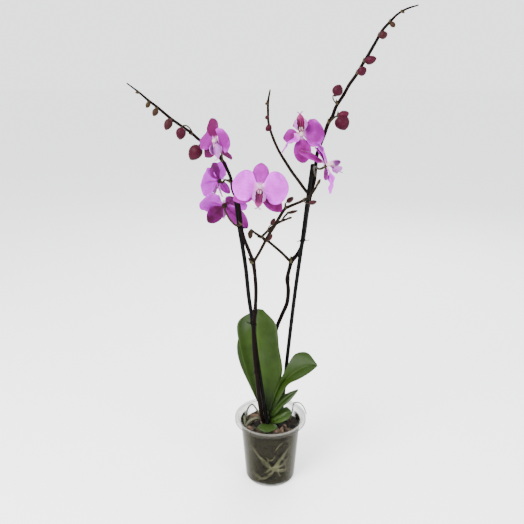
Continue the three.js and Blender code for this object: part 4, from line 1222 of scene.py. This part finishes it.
def makeTepalTree():
    sizes = ["Length", "Width", "Belly", "Blunt", "Neck", "Arch", "Droop", "Cup", "Ruffle", "Waves", "Crease"]
    sizes += ["Lean", "Twist", "Thickness", "Seed", "Start", "Base Half", "Claw End"]
    sockets = {label: "float" for label in sizes}
    tree, given, end = geometryTree("tepal", {**sockets, "Material": "material"})
    inputs = {"Size X": 1.0, "Size Y": 1.0, "Vertices X": 25, "Vertices Y": 41}
    grid = addNode(tree, "GeometryNodeMeshGrid", inputs)
    position = addNode(tree, "GeometryNodeInputPosition").outputs[0]
    x, y, rest = splitVector(tree, position)
    t = x * 2
    edge = t.size()
    s = 0.5 - (y * math.pi + math.pi / 2).math("COSINE") * 0.5
    held = addNode(tree, "GeometryNodeCaptureAttribute", {"Geometry": grid.outputs[0]}, domain="POINT")
    held.capture_items.new("FLOAT", "Rim")
    tree.links.new((1 - edge.math("MAXIMUM", (y * 2).size()) ** 10).socket, held.inputs[1])
    rim = Field(tree, held.outputs[1])
    uv = joinVector(tree, x + 0.5, s, 0.0)
    mapped = nameAttribute(tree, held.outputs[0], "UVMap", "FLOAT2", "CORNER", uv)

    hump = (s * math.pi).sine().math("MAXIMUM", 0.0)
    bulge = (s ** given["Belly"] * math.pi).sine().math("MAXIMUM", 0.0)
    claw = given["Neck"] + (1 - given["Neck"]) * s.step(0.0, given["Claw End"])
    base = given["Base Half"] * (1 - s.step(0.1, 0.5))
    half = (given["Width"] * 0.5 * bulge ** given["Blunt"] * claw).math("MAXIMUM", base)
    distance = given["Start"] + (given["Length"] - given["Start"]) * s
    lift = given["Arch"] * hump * hump - given["Droop"] * s * s - given["Cup"] * t * t * s
    wave = (s * given["Waves"] * 2 * math.pi + given["Seed"] + t * 1.3).sine()
    lift = lift + given["Ruffle"] * wave * edge * edge * edge * hump
    lift = lift - given["Crease"] * (edge * -9).math("EXPONENT") * (1 - s)
    flat = joinVector(tree, t * half, distance, 0.0)
    lift = lift + (noise(tree, flat, 45.0, 2.0, 0.5, given["Seed"]) - 0.5) * given["Ruffle"] * 1.6 * hump
    bend = s.step(0.08, 0.34)  # a tepal is flat at its base and then takes its twist and its lean
    twist, lean = given["Twist"] * bend, given["Lean"] * bend
    across = t * half * twist.cosine() + lift * twist.sine()
    front = lift * twist.cosine() - t * half * twist.sine()
    along = distance * lean.cosine() + front * lean.sine()
    front = front * lean.cosine() - distance * lean.sine()
    inputs = {"Geometry": mapped, "Position": joinVector(tree, across, along, front)}
    shaped = addNode(tree, "GeometryNodeSetPosition", inputs).outputs[0]

    layers = []
    for side in (1, -1):
        layer = pushOut(tree, shaped, rim * given["Thickness"] * 0.5 * side)
        layer = nameAttribute(tree, layer, "Front", "FLOAT", "FACE", float(side > 0))
        if side < 0:
            layer = addNode(tree, "GeometryNodeFlipFaces", {"Mesh": layer}).outputs[0]
        layers.append(layer)
    both = tree.nodes.new("GeometryNodeJoinGeometry")
    for layer in layers:
        tree.links.new(layer, both.inputs[0])
    closed = addNode(tree, "GeometryNodeMergeByDistance", {"Geometry": both.outputs[0], "Distance": 2e-6})
    finishTree(tree, end, closed.outputs[0], given["Material"])
    return tree


def makeTepalMaterial(name, colour, pale, vein, back):
    soft = {"SubsurfaceWeight": 0.12, "SubsurfaceScale": 0.002, "SubsurfaceRadius": (1.0, 0.3, 0.9)}
    material, tree, shader, spot = newMaterial(name, 0.06, Roughness=0.55, **soft)
    uv, across, along = bladeSpots(tree)
    edge = (across - 0.5).size() * 2
    cloud = noise(tree, spot, 70.0, 4.0)
    # painted light and shade: each tepal's tone, with some random cloud and paler edges, mixes from the dark
    # colour of a shaded tepal to the pale one of a lit tepal
    light = (attribute(tree, "tone") * 0.9 + (cloud - 0.5) * 0.9 + edge * edge * 0.25 - 0.1).between(0, 1)
    toned = mixColours(tree, light, colour, pale)
    lines = effect(tree, veins, UV=uv, Place=spot, Count=9.0, Wobble=0.22, Thinness=6.0)
    mask = Field(tree, lines["Mask"])
    lined = mixColours(tree, mask * 0.4, toned, vein)
    near = (1 - (along + (cloud - 0.5) * 0.1).step(0.03, 0.22)) * 0.8
    hearted = mixColours(tree, near, lined, bloomShapes["petalHeart"])
    middle = (1 - edge.step(0.02, 0.12)) * (1 - along.step(0.3, 0.95)) * 0.6
    # the back takes the same painted light and shade
    behind = mixColours(tree, light * 0.8, back, pale)
    behind = mixColours(tree, (mask * 0.5 + middle).between(0, 1), behind, vein)
    sided = mixColours(tree, attribute(tree, "Front"), behind, hearted)
    bumps = {"Scale": 900.0, "Strength": 0.18, "Distance": 0.0004, "Height": mask * -0.5}
    paint(tree, shader, sided, Vector=spot, **bumps)
    return material


def frameOf(origin, direction, up, size=1.0):
    z = Vector(direction).normalized()
    y = (Vector(up) - z * Vector(up).dot(z)).normalized()
    x = y.cross(z)
    turned = Matrix((x * size, y * size, z * size)).transposed().to_4x4()
    return Matrix.Translation(Vector(origin) * mm) @ turned


def tepalFrame(direction, height):
    # a tepal grows along +Y with its front to +Z
    moved = Matrix.Translation(Vector((0, 0, height)) * mm)
    return moved @ Matrix.Rotation(math.radians(direction - 90), 4, "Z")


def makeStalkMaterial():
    colours = bloomShapes["stalkColour"], bloomShapes["stalkBlush"]
    bumps = {"Scale": 600.0, "Strength": 0.2}
    return mottledMaterial("flowerStalk", 0.05, {"Roughness": 0.5}, colours, 70.0, 2.5, **bumps)


tepalTree = makeTepalTree()
stalkMaterial = makeStalkMaterial()


def makeTepals(index, bloom, materials):
    size = bloomShapes
    whole = frameOf(bloom["centre"], bloom["face"], bloom["up"], bloom["size"])
    radius, depth = size["hubRadius"], size["hubHalfDepth"]
    hubProfile = []
    for i in range(9):
        angle = math.pi * (i / 8 - 0.5)
        height = depth * (1 + math.sin(angle)) - size["hubBack"]
        hubProfile.append((0 if i in (0, 8) else radius * math.cos(angle), height))
    hub = turnedObject("hub", hubProfile, 20, stalkMaterial)
    hub.data.transform(whole)
    pieces = [hub]
    for i, (kind, direction) in enumerate(size["tepals"]):
        turn, lean, twist, longShare, wideShare, tone = bloom["tepals"][i]
        shape = dict(size["kinds"][kind])
        shape["Length"] *= longShare
        shape["Width"] *= wideShare
        metres = ("Length", "Width", "Arch", "Droop", "Cup", "Ruffle", "Crease")
        values = {label: float(value * (mm if label in metres else 1)) for label, value in shape.items()}
        values.update({"Thickness": size["thickness"] * mm, "Seed": float(7 * index + 3 * i)})
        values.update({"Start": size["start"] * mm, "Base Half": size["baseHalf"] * mm})
        values.update({"Lean": math.radians(lean), "Twist": math.radians(twist)})
        values.update({"Claw End": size["clawEnd"], "Material": materials[kind]})
        blank = linkObject("tepal", bpy.data.meshes.new("tepal"))
        tepal = grow(blank, tepalTree, values, "tepal")
        height = size["petalHeight"] if kind == "petal" else -size["sepalDepth"]
        tepal.data.transform(whole @ tepalFrame(direction + turn, height))
        setTone(tepal, tone)
        pieces.append(tepal)
    name = f"petals_{index + 1}"
    handOver(joinPieces(name, pieces), name)


# lips: a column, an arrow-shaped middle lobe with two tendrils, and two side lobes round a hollow

lipShapes = {
    "column": [[0, 1.5, 1.8, 2.9], [0, 2.2, 6, 3.1], [0, 1.4, 8.8, 3.3], [0, -0.4, 10.8, 2]],
    "callus": [[1.4, -3.6, 6.6, 0.8], [1.8, -6, 9, 1.5], [1.6, -8.4, 9.8, 0.9]],
    "tendril": [  # from the middle lobe's tip
        [0.6, 1.5, 0, 0.9], [1.8, -1, 1, 0.7], [3.8, -1.8, 3, 0.55], [4.2, -0.4, 5, 0.45]],
    "length": 28,
    "width": 24,
    "halfWidths": [0.2, 0.38, 1, 0.8, 0.42, 0.12],
    "height": 5,
    "arch": 5,
    "ridge": 1.4,
    "pouchRadius": 9.5,
    "pouchCentre": -12,
    "pouchStart": 4,
    "pouchDepth": 15,
    "pouchHalfAngle": 62,
    "thickness": 1,
    "colour": (0.14, 0.004, 0.065, 1),
    "edge": (0.20, 0.018, 0.17, 1),
    "throat": (0.13, 0.045, 0.008, 1),
    "spot": (0.040, 0.0015, 0.004, 1),
    "outside": (0.27, 0.075, 0.30, 1),
    "columnColour": (0.34, 0.15, 0.34, 1),
    "cap": (0.36, 0.30, 0.22, 1),
    "tones": (0.85, 0.7, 0.6, 0.1, 0.0, 0.8),
}


def makeLipMaterial(name, inside, edgeStart):
    soft = {"SubsurfaceWeight": 0.1, "SubsurfaceScale": 0.001}
    material, tree, shader, spot = newMaterial(name, 0.15, Roughness=0.45, **soft)
    uv, across, along = bladeSpots(tree)
    edge = (across - 0.5).size() * 2
    cloud = noise(tree, spot, 260.0, 3.0)
    lines = effect(tree, veins, UV=uv, Place=spot, Count=7.0, Wobble=0.3, Thinness=2.0)
    mask = Field(tree, lines["Mask"])
    speckle = (cloud * 0.7 + mask * 0.9).step(0.42, 0.62)
    patterned = mixColours(tree, speckle, inside, lipShapes["spot"])
    low = 1 - (along + (cloud - 0.5) * 0.3).step(0.12, 0.42)
    based = mixColours(tree, low * 0.85, patterned, lipShapes["throat"])
    rim = (edge + (cloud - 0.5) * 0.5).step(edgeStart, 1.0)
    rimmed = mixColours(tree, rim, based, lipShapes["edge"])
    outside = mixColours(tree, mask * 0.5, lipShapes["outside"], lipShapes["edge"])
    paler = attribute(tree, "tone")
    if name == "pouchLobe":  # its front is the outside of the hollow
        paler = paler.math("MAXIMUM", attribute(tree, "Front"))
    sided = mixColours(tree, paler, rimmed, outside)
    paint(tree, shader, sided, Vector=spot, Scale=700.0, Strength=0.25, Distance=0.0005)
    return material


def makeColumnMaterial():
    sockets = {"Roughness": 0.45, "SubsurfaceWeight": 0.1, "SubsurfaceScale": 0.002}
    return mottledMaterial("column", 0.15, sockets, (lipShapes["columnColour"], lipShapes["cap"]), 200.0, 3.0)


def makeLip(index, bloom, looks):
    size = lipShapes
    halves = size["halfWidths"]

    def middle(s, t):
        spot = s * (len(halves) - 1)
        before = min(int(spot), len(halves) - 2)
        share = spot - before
        share = share * share * (3 - 2 * share)
        half = size["width"] / 2 * (halves[before] * (1 - share) + halves[before + 1] * share)
        height = size["height"] + size["arch"] * math.sin(2 * s) - size["ridge"] * abs(t) ** 1.5
        height += 0.5 * math.sin(19 * s) * t * t
        return Vector((-t * half, -s * size["length"], height))

    def sideLobe(side):
        def place(s, t):
            reach = size["pouchRadius"] * math.sin(math.pi * (0.16 + 0.7 * s)) ** 0.6
            span = math.radians(size["pouchHalfAngle"]) * math.sin(math.pi * (0.12 + 0.8 * s)) ** 0.5
            angle = side * t * span
            y = size["pouchCentre"] + reach * math.sin(angle)
            return Vector((side * reach * math.cos(angle), y, size["pouchStart"] + size["pouchDepth"] * s))
        return place

    def thickness(s, t):
        return size["thickness"] * (1 - abs(t) ** 6) ** 0.5

    def mirrored(route):
        return [[[side * x, y, z, radius] for x, y, z, radius in route] for side in (1, -1)]

    tip = size["height"] + size["arch"] * math.sin(2)
    tendril = [[x, y - size["length"], z + tip, radius] for x, y, z, radius in size["tendril"]]
    pieces = [
        tubes("column", [size["column"]], looks["column"], sides=18, perSpan=5),
        tubes("callus", mirrored(size["callus"]), looks["column"], sides=10, perSpan=5),
        tubes("tendrils", mirrored(tendril), looks["lobe"], sides=8, perSpan=5),
        sheetObject("middleLobe", 30, 16, middle, thickness, looks["lobe"]),
        *[sheetObject("sideLobe", 20, 16, sideLobe(side), thickness, looks["pouch"]) for side in (1, -1)],
    ]
    whole = frameOf(bloom["centre"], bloom["face"], bloom["up"], bloom["size"])
    for piece in pieces:
        piece.data.transform(whole)
        setTone(piece, size["tones"][index])
    name = f"lip_{index + 1}"
    handOver(joinPieces(name, pieces), name)


def makeBlooms():
    parts = ("Colour", "Pale", "Vein", "Back")
    petal, sepal = [
        makeTepalMaterial(kind + "Flesh", *[bloomShapes[kind + part] for part in parts])
        for kind in ("petal", "sepal")
    ]
    lips = {
        "lobe": makeLipMaterial("lipLobe", lipShapes["colour"], 0.72),
        "pouch": makeLipMaterial("pouchLobe", lipShapes["throat"], 0.8),
        "column": makeColumnMaterial(),
    }
    for index, bloom in enumerate(blooms):
        makeTepals(index, bloom, {"petal": petal, "dorsal": sepal, "lateral": sepal})
        makeLip(index, bloom, lips)


makeBlooms()
print("the blooms are open")


# flower spikes: stems, side branches, stalks, buds and the small bracts at their joints

spikeShapes = {
    "budProfile": [(0.0, 0.25), (0.04, 0.45), (0.12, 0.74), (0.26, 0.94), (0.42, 1.0), (0.6, 0.93),
        (0.8, 0.68), (0.92, 0.38), (0.985, 0.12), (1.0, 0.0)],
    "seams": 3,
    "seamDepth": 0.07,
    "stemDark": (0.0022, 0.0012, 0.0012, 1),
    "stemLight": (0.0045, 0.0022, 0.0018, 1),
    "stemOlive": (0.013, 0.008, 0.0045, 1),
    "branchTone": 0.4,
    "budDark": (0.012, 0.0012, 0.0035, 1),
    "budLight": (0.040, 0.0035, 0.012, 1),
    "budOlive": (0.022, 0.016, 0.005, 1),
    "bract": (0.016, 0.010, 0.005, 1),
    "bractLight": (0.038, 0.031, 0.014, 1),
}
spikes = {  # a bud: its stalk, base, tip, radius and tone from 0 young to 1 ripe
    "spike_left": {
        "stem": [
            [-11, -9, 108, 3.6], [-15, -14, 125, 3.6], [-19, -20, 155, 3.5], [-22, -24, 190, 3.5],
            [-23.7, -25.4, 210, 3.4], [-24.2, -25.8, 215, 4.2], [-24.8, -26.1, 221, 3.4],
            [-26, -27, 238, 3.4], [-28, -28.5, 275, 3.4], [-28, -28.8, 303, 3.4], [-26.6, -29.4, 320, 3.3],
            [-26, -29.8, 326, 4.2], [-25.5, -30, 332, 3.3], [-24.4, -31, 365, 3.2], [-27, -32, 400, 3.2],
            [-28.6, -32.6, 410, 4], [-31, -33, 418, 3.2], [-35.6, -34.2, 431, 3], [-42.5, -35.8, 450, 2.9],
            [-46.6, -37.2, 468, 2.9], [-48.3, -38.2, 490, 2.8], [-51, -39.2, 508, 2.7],
            [-58.3, -40.6, 525, 2.6], [-60.8, -42, 543, 2.5], [-66.8, -44, 559, 2.5],
            [-72.4, -46, 570, 2.4], [-81, -48, 582, 2.2], [-92, -50, 591, 2.2], [-105, -52, 600.5, 2.2],
            [-116, -54, 610.5, 2.2], [-130, -56, 620.5, 2.1], [-144, -58, 631, 2.1], [-160, -60, 645, 2],
            [-172, -61, 654.5, 1.8], [-184, -62, 665, 1.5], [-200, -64, 677.5, 0.9],
        ],
        "branches": [
            [[-29, -32.5, 409, 2.5], [-19.4, -34, 426, 2.4], [-10.5, -36, 444, 2.4], [-4, -38, 457, 2.5],
                [2, -40, 467, 2.5], [8, -41, 478, 2.5], [20, -43, 498, 2.5], [25, -44, 501, 2.4],
                [36, -45, 506, 2.2], [47, -46, 511, 2.2], [55, -47, 517, 2.1], [62.3, -48, 527, 1.9],
                [68.5, -50, 539, 1.3]],
        ],
        "buds": [
            ([[-95, -51, 593, 1.5], [-100, -58, 594.5, 1.5]],
                [-103, -61.5, 592.5], [-117, -63, 573], 10, 0.6),
            ([[-113, -54, 608, 1.2], [-116, -59, 616, 1.1], [-121, -61, 620.5, 1.1], [-126, -62, 620, 1.1]],
                [-127.5, -62, 618], [-130.5, -63.5, 601], 7.3, 0.5),
            ([[-141, -57.5, 629, 1]], [-143, -60, 629.5], [-150, -64, 614.5], 6, 0.4),
            ([[-159, -60, 644, 1]], [-161, -61.5, 643.5], [-166, -64, 633.5], 4.4, 0.3),
            ([[-170, -61, 653, 0.9]], [-171, -62, 652.5], [-175, -64.5, 644.5], 3.4, 0.2),
            ([[-183, -62, 664, 0.9]], [-184, -62, 665], [-189.5, -63.5, 665], 1.8, 0.1),
            ([[20, -43, 498, 1.1], [19.5, -45.5, 505, 1]], [22, -47, 508.5], [32, -49.5, 516.5], 4, 0.4),
            ([[46, -46, 510.7, 1], [51.5, -48, 507, 1]], [55.5, -50, 507.5], [66, -54, 511], 3.6, 0.4),
            ([[65, -49, 532, 1]], [66.5, -49.4, 535], [70.5, -51, 544], 2.4, 0.2),
        ],
        "blooms": [0, 1, 2, 3],
    },
    "spike_right": {
        "stem": [
            [-5, 6, 108, 3.6], [0, 12, 122, 3.5], [3, 22, 160, 3.4], [4, 30, 200, 3.4], [3.7, 33, 222, 3.4],
            [3.6, 33.8, 229, 4.2], [3.9, 34, 236, 3.4], [10.7, 34, 269, 3.5], [19.4, 32, 294, 3.5],
            [27.8, 28, 318, 3.5], [29.6, 24, 343, 3.5], [28.1, 21.4, 357, 3.4], [27.8, 20.4, 363, 4.2],
            [28.2, 19, 371, 3.4], [32, 16.6, 390, 3.4], [33.6, 15.9, 397, 4.1], [42.6, 13, 409, 3.2],
            [49.8, 9.8, 426, 3], [53.2, 6.8, 445, 2.9], [56.8, 3.2, 481, 2.8], [59.4, 1, 500, 2.8],
            [63, -1.5, 520, 2.9], [66.2, -2.6, 534, 2.9], [67.2, -3.8, 549, 2.9], [68.7, -6, 573, 2.9],
            [73, -8, 588, 2.8], [79, -12, 606, 2.8], [83, -14, 619.5, 2.9], [89, -17, 631, 2.8],
            [93, -20, 644, 2.6], [103, -24, 661, 2.5], [110, -27, 675, 2.5], [120, -30, 690, 2.5],
            [125.6, -32, 700.6, 2.4], [133.7, -35, 715, 2.4], [144, -40, 735, 2.2], [150, -43, 746.5, 2.1],
            [159.6, -46, 757.5, 1.9], [167, -50, 765.5, 1.6], [178, -55, 772, 1.4], [192, -62, 775.95, 0.9],
        ],
        "branches": [
            [[33, 16, 395, 2.6], [19.4, 8, 411.6, 2.4], [6, 0, 426, 2.4], [-7, -8, 439, 2.2],
                [-15.7, -14, 446, 2.4], [-26, -18, 454, 2], [-32, -20, 460, 1.5]],
            [[-15.7, -14, 446, 2.2], [-5.6, -18, 457.4, 2.1], [6, -22, 468.6, 2.1], [17, -26, 475.3, 1.9],
                [28, -28, 480, 1.4]],
            [[15, -25.3, 474.3, 1.6], [20.4, -27, 483, 1.6], [27.6, -28, 490, 1.5]],
            [[60, 1, 509, 2.5], [51, 2, 520, 2.5], [43.2, -2, 531, 2.5], [31, -7, 547.5, 2.4],
            [22.6, -10, 560.5, 2.4], [11.3, -12, 578.5, 2.1], [3.6, -14, 594.5, 2.1], [-2, -16, 609.5, 2],
            [-5.4, -18, 623, 1.9], [-6, -20, 637, 1.9], [-6, -22, 651, 1.8], [-3, -24, 668.5, 1.1]],
        ],
        "buds": [
            ([[84, -15, 620, 1.6], [89, -22, 627.5, 1.5], [94, -28, 631.5, 1.5]],
                [97, -31, 631], [106, -40, 613], 11, 0.5),
            ([[96, -29, 631.5, 1.5]], [96, -30, 630], [110, -37, 637], 6.5, 0.9),
            ([[94, -21, 648, 1.1], [88, -27, 655, 1], [87, -31, 660, 1]],
                [90, -33, 660.5], [96, -36, 675.5], 8, 0.5),
            ([[119.5, -30, 689, 1.1]], [121.5, -32, 690], [131, -39, 697.5], 6.5, 0.5),
            ([[128, -33, 705, 1.1]], [130, -34, 706], [144, -43, 710.5], 6, 0.5),
            ([[145.5, -41, 738, 1]], [146.5, -42, 739], [156, -49, 741.5], 5.5, 0.4),
            ([[158, -45.5, 756, 0.9]], [159.5, -47.5, 755.5], [165, -52, 750], 3.6, 0.3),
            ([[171, -52, 768, 0.8]], [172, -52.5, 769.5], [176, -55, 767], 1.8, 0.1),
            ([[-30, -19.5, 458, 1]], [-32.5, -21, 459], [-33.5, -25, 445.5], 4.2, 0.3),
            ([[-15, -14.5, 445.5, 1.1], [-11.5, -17.5, 441, 1]],
                [-6, -21.5, 442.5], [1, -25.5, 454], 3.8, 0.4),
            ([[-6, -18, 457, 1], [-4, -20.5, 464, 1]], [-1, -23, 468], [5, -25, 479], 3.6, 0.4),
            ([[23, -27.5, 486, 1]], [25, -27.8, 487.5], [40, -31.5, 492.5], 2.6, 0.3),
            ([[24, -27.2, 478, 0.9]], [25, -27.6, 479], [31.5, -29, 481.5], 2, 0.2),
            ([[-1, -16.5, 613, 1]], [-2, -17.5, 617.5], [-9, -22, 610], 4.6, 0.5),
            ([[-5, -19, 629, 0.9]], [-5.5, -20, 631], [-10, -23.5, 627.5], 3, 0.4),
            ([[-6, -22, 649, 0.9]], [-6.2, -22.5, 650], [-10.5, -25, 648], 2.2, 0.2),
        ],
        "blooms": [4, 5],
    },
}


def makeStemMaterial():
    material, tree, shader, spot = newMaterial("spikeStem", 0.02, Roughness=0.45)
    spot = stretched(tree, spot, (1, 1, 0.25))
    blotch = mottled(tree, spot, 110.0, 2.2, spikeShapes["stemDark"], spikeShapes["stemLight"])
    mixed = mixColours(tree, attribute(tree, "tone"), blotch, spikeShapes["stemOlive"])
    paint(tree, shader, mixed, Vector=spot, Scale=700.0, Strength=0.2)
    return material


def makeBudMaterial():
    material, tree, shader, spot = newMaterial("budSkin", 0.05, Roughness=0.45)
    cloud = (noise(tree, spot, 170.0, 4.0) - 0.5) * 1.3
    tone = attribute(tree, "tone")
    ripe = mixColours(tree, (tone + cloud).between(0, 1), spikeShapes["budDark"], spikeShapes["budLight"])
    green = (1 - tone.step(0.2, 0.5)) * 0.8
    mixed = mixColours(tree, green, ripe, spikeShapes["budOlive"])
    paint(tree, shader, mixed, Vector=spot, Scale=800.0, Strength=0.2)
    return material


def makeBractMaterial():
    colours = spikeShapes["bract"], spikeShapes["bractLight"]
    return mottledMaterial("dryBract", 0.1, {"Roughness": 0.7}, colours, 220.0, 2.5)


def budCopy(material):
    def lobed(angle, height):
        phase = (angle / (2 * math.pi) * spikeShapes["seams"]) % 1
        return 1 - spikeShapes["seamDepth"] * math.exp(-(((phase - 0.5) / 0.09) ** 2))

    metre = 1 / mm  # the copies are a metre in size, and are scaled to the sizes of their spots
    profile = [(width * metre, share * metre) for share, width in spikeShapes["budProfile"]]
    return turnedObject("budCopy", [(0, 0)] + profile, 30, material, shape=lobed)


def bractCopy(material):
    def place(s, t):
        angle = t * math.radians(120) * (1 - s * s) + math.pi
        reach = (1.12 + 0.35 * s) / mm
        return Vector((reach * math.cos(angle), reach * math.sin(angle), s / mm))

    return sheetObject("bractCopy", 8, 10, place, lambda s, t: 0.16 / mm, material)


def bloomStalk(bloom):
    size = bloomShapes
    whole = frameOf(bloom["centre"], bloom["face"], bloom["up"], bloom["size"])

    def behind(distance, radius):
        return list(whole @ (Vector((0, 0, -distance)) * mm) / mm) + [radius]

    end = size["hubBack"] + size["clear"] / bloom["size"]
    return bloom["stalk"] + [behind(size["hubBack"] + size["stalkStraight"], 1.7), behind(end, 1.9)]


def nearestOn(route, spot):
    # the direction of a route where it passes nearest to a spot
    best = min(range(41), key=lambda i: (curvePoint(route, i / 40).to_3d() - Vector(spot)).length)
    ahead, back = curvePoint(route, min(best + 1, 40) / 40), curvePoint(route, max(best - 1, 0) / 40)
    return (ahead - back).to_3d().normalized(), curvePoint(route, best / 40)


def makeSpike(name, spike, materials, copies):
    stalks, bodies, bracts = [], [], []
    for stalk, base, tip, radius, tone in spike["buds"]:
        towards = Vector(tip) - Vector(base)
        inside = list(Vector(base) + towards * 0.1)
        stalks.append(stalk + [base + [0.25 * radius], inside + [0.3 * radius]])
        bodies.append((base, towards, (radius, radius, towards.length), tone))
    blossoms = [bloomStalk(blooms[i]) for i in spike["blooms"]]
    routes = [spike["stem"]] + spike["branches"]
    for route in stalks + blossoms + spike["branches"]:
        start = route[0][:3]
        others = [other for other in routes if other is not route]
        along, spot = min((nearestOn(other, start) for other in others),
            key=lambda found: (found[1].to_3d() - Vector(start)).length)
        radius = spot[3] if len(spot) > 3 else 1.2
        bracts.append((start, along, (radius, radius, 2.6 * radius), 0.5))
    pieces = [
        tubes("stem", [spike["stem"]], materials["stem"], sides=14, bump=0.3),
        tubes("branches", spike["branches"], materials["stem"], sides=14, bump=0.3),
        tubes("stalks", stalks + blossoms, materials["stalk"], sides=10, bump=0.15),
        copiesOn("buds", bodies, copies["bud"], materials["bud"]),
        copiesOn("bracts", bracts, copies["bract"], materials["bract"]),
    ]
    for piece, tone in ((pieces[0], 0), (pieces[1], spikeShapes["branchTone"])):
        setTone(piece, tone)
    handOver(joinPieces(name, pieces), name)


def makeSpikes():
    materials = {"stem": makeStemMaterial(), "stalk": stalkMaterial}
    materials.update({"bud": makeBudMaterial(), "bract": makeBractMaterial()})
    copies = {"bud": budCopy(materials["bud"]), "bract": bractCopy(materials["bract"])}
    for name, spike in spikes.items():
        makeSpike(name, spike, materials, copies)
    for copy in copies.values():
        bpy.data.objects.remove(copy)


makeSpikes()
print("the spikes carry their buds")
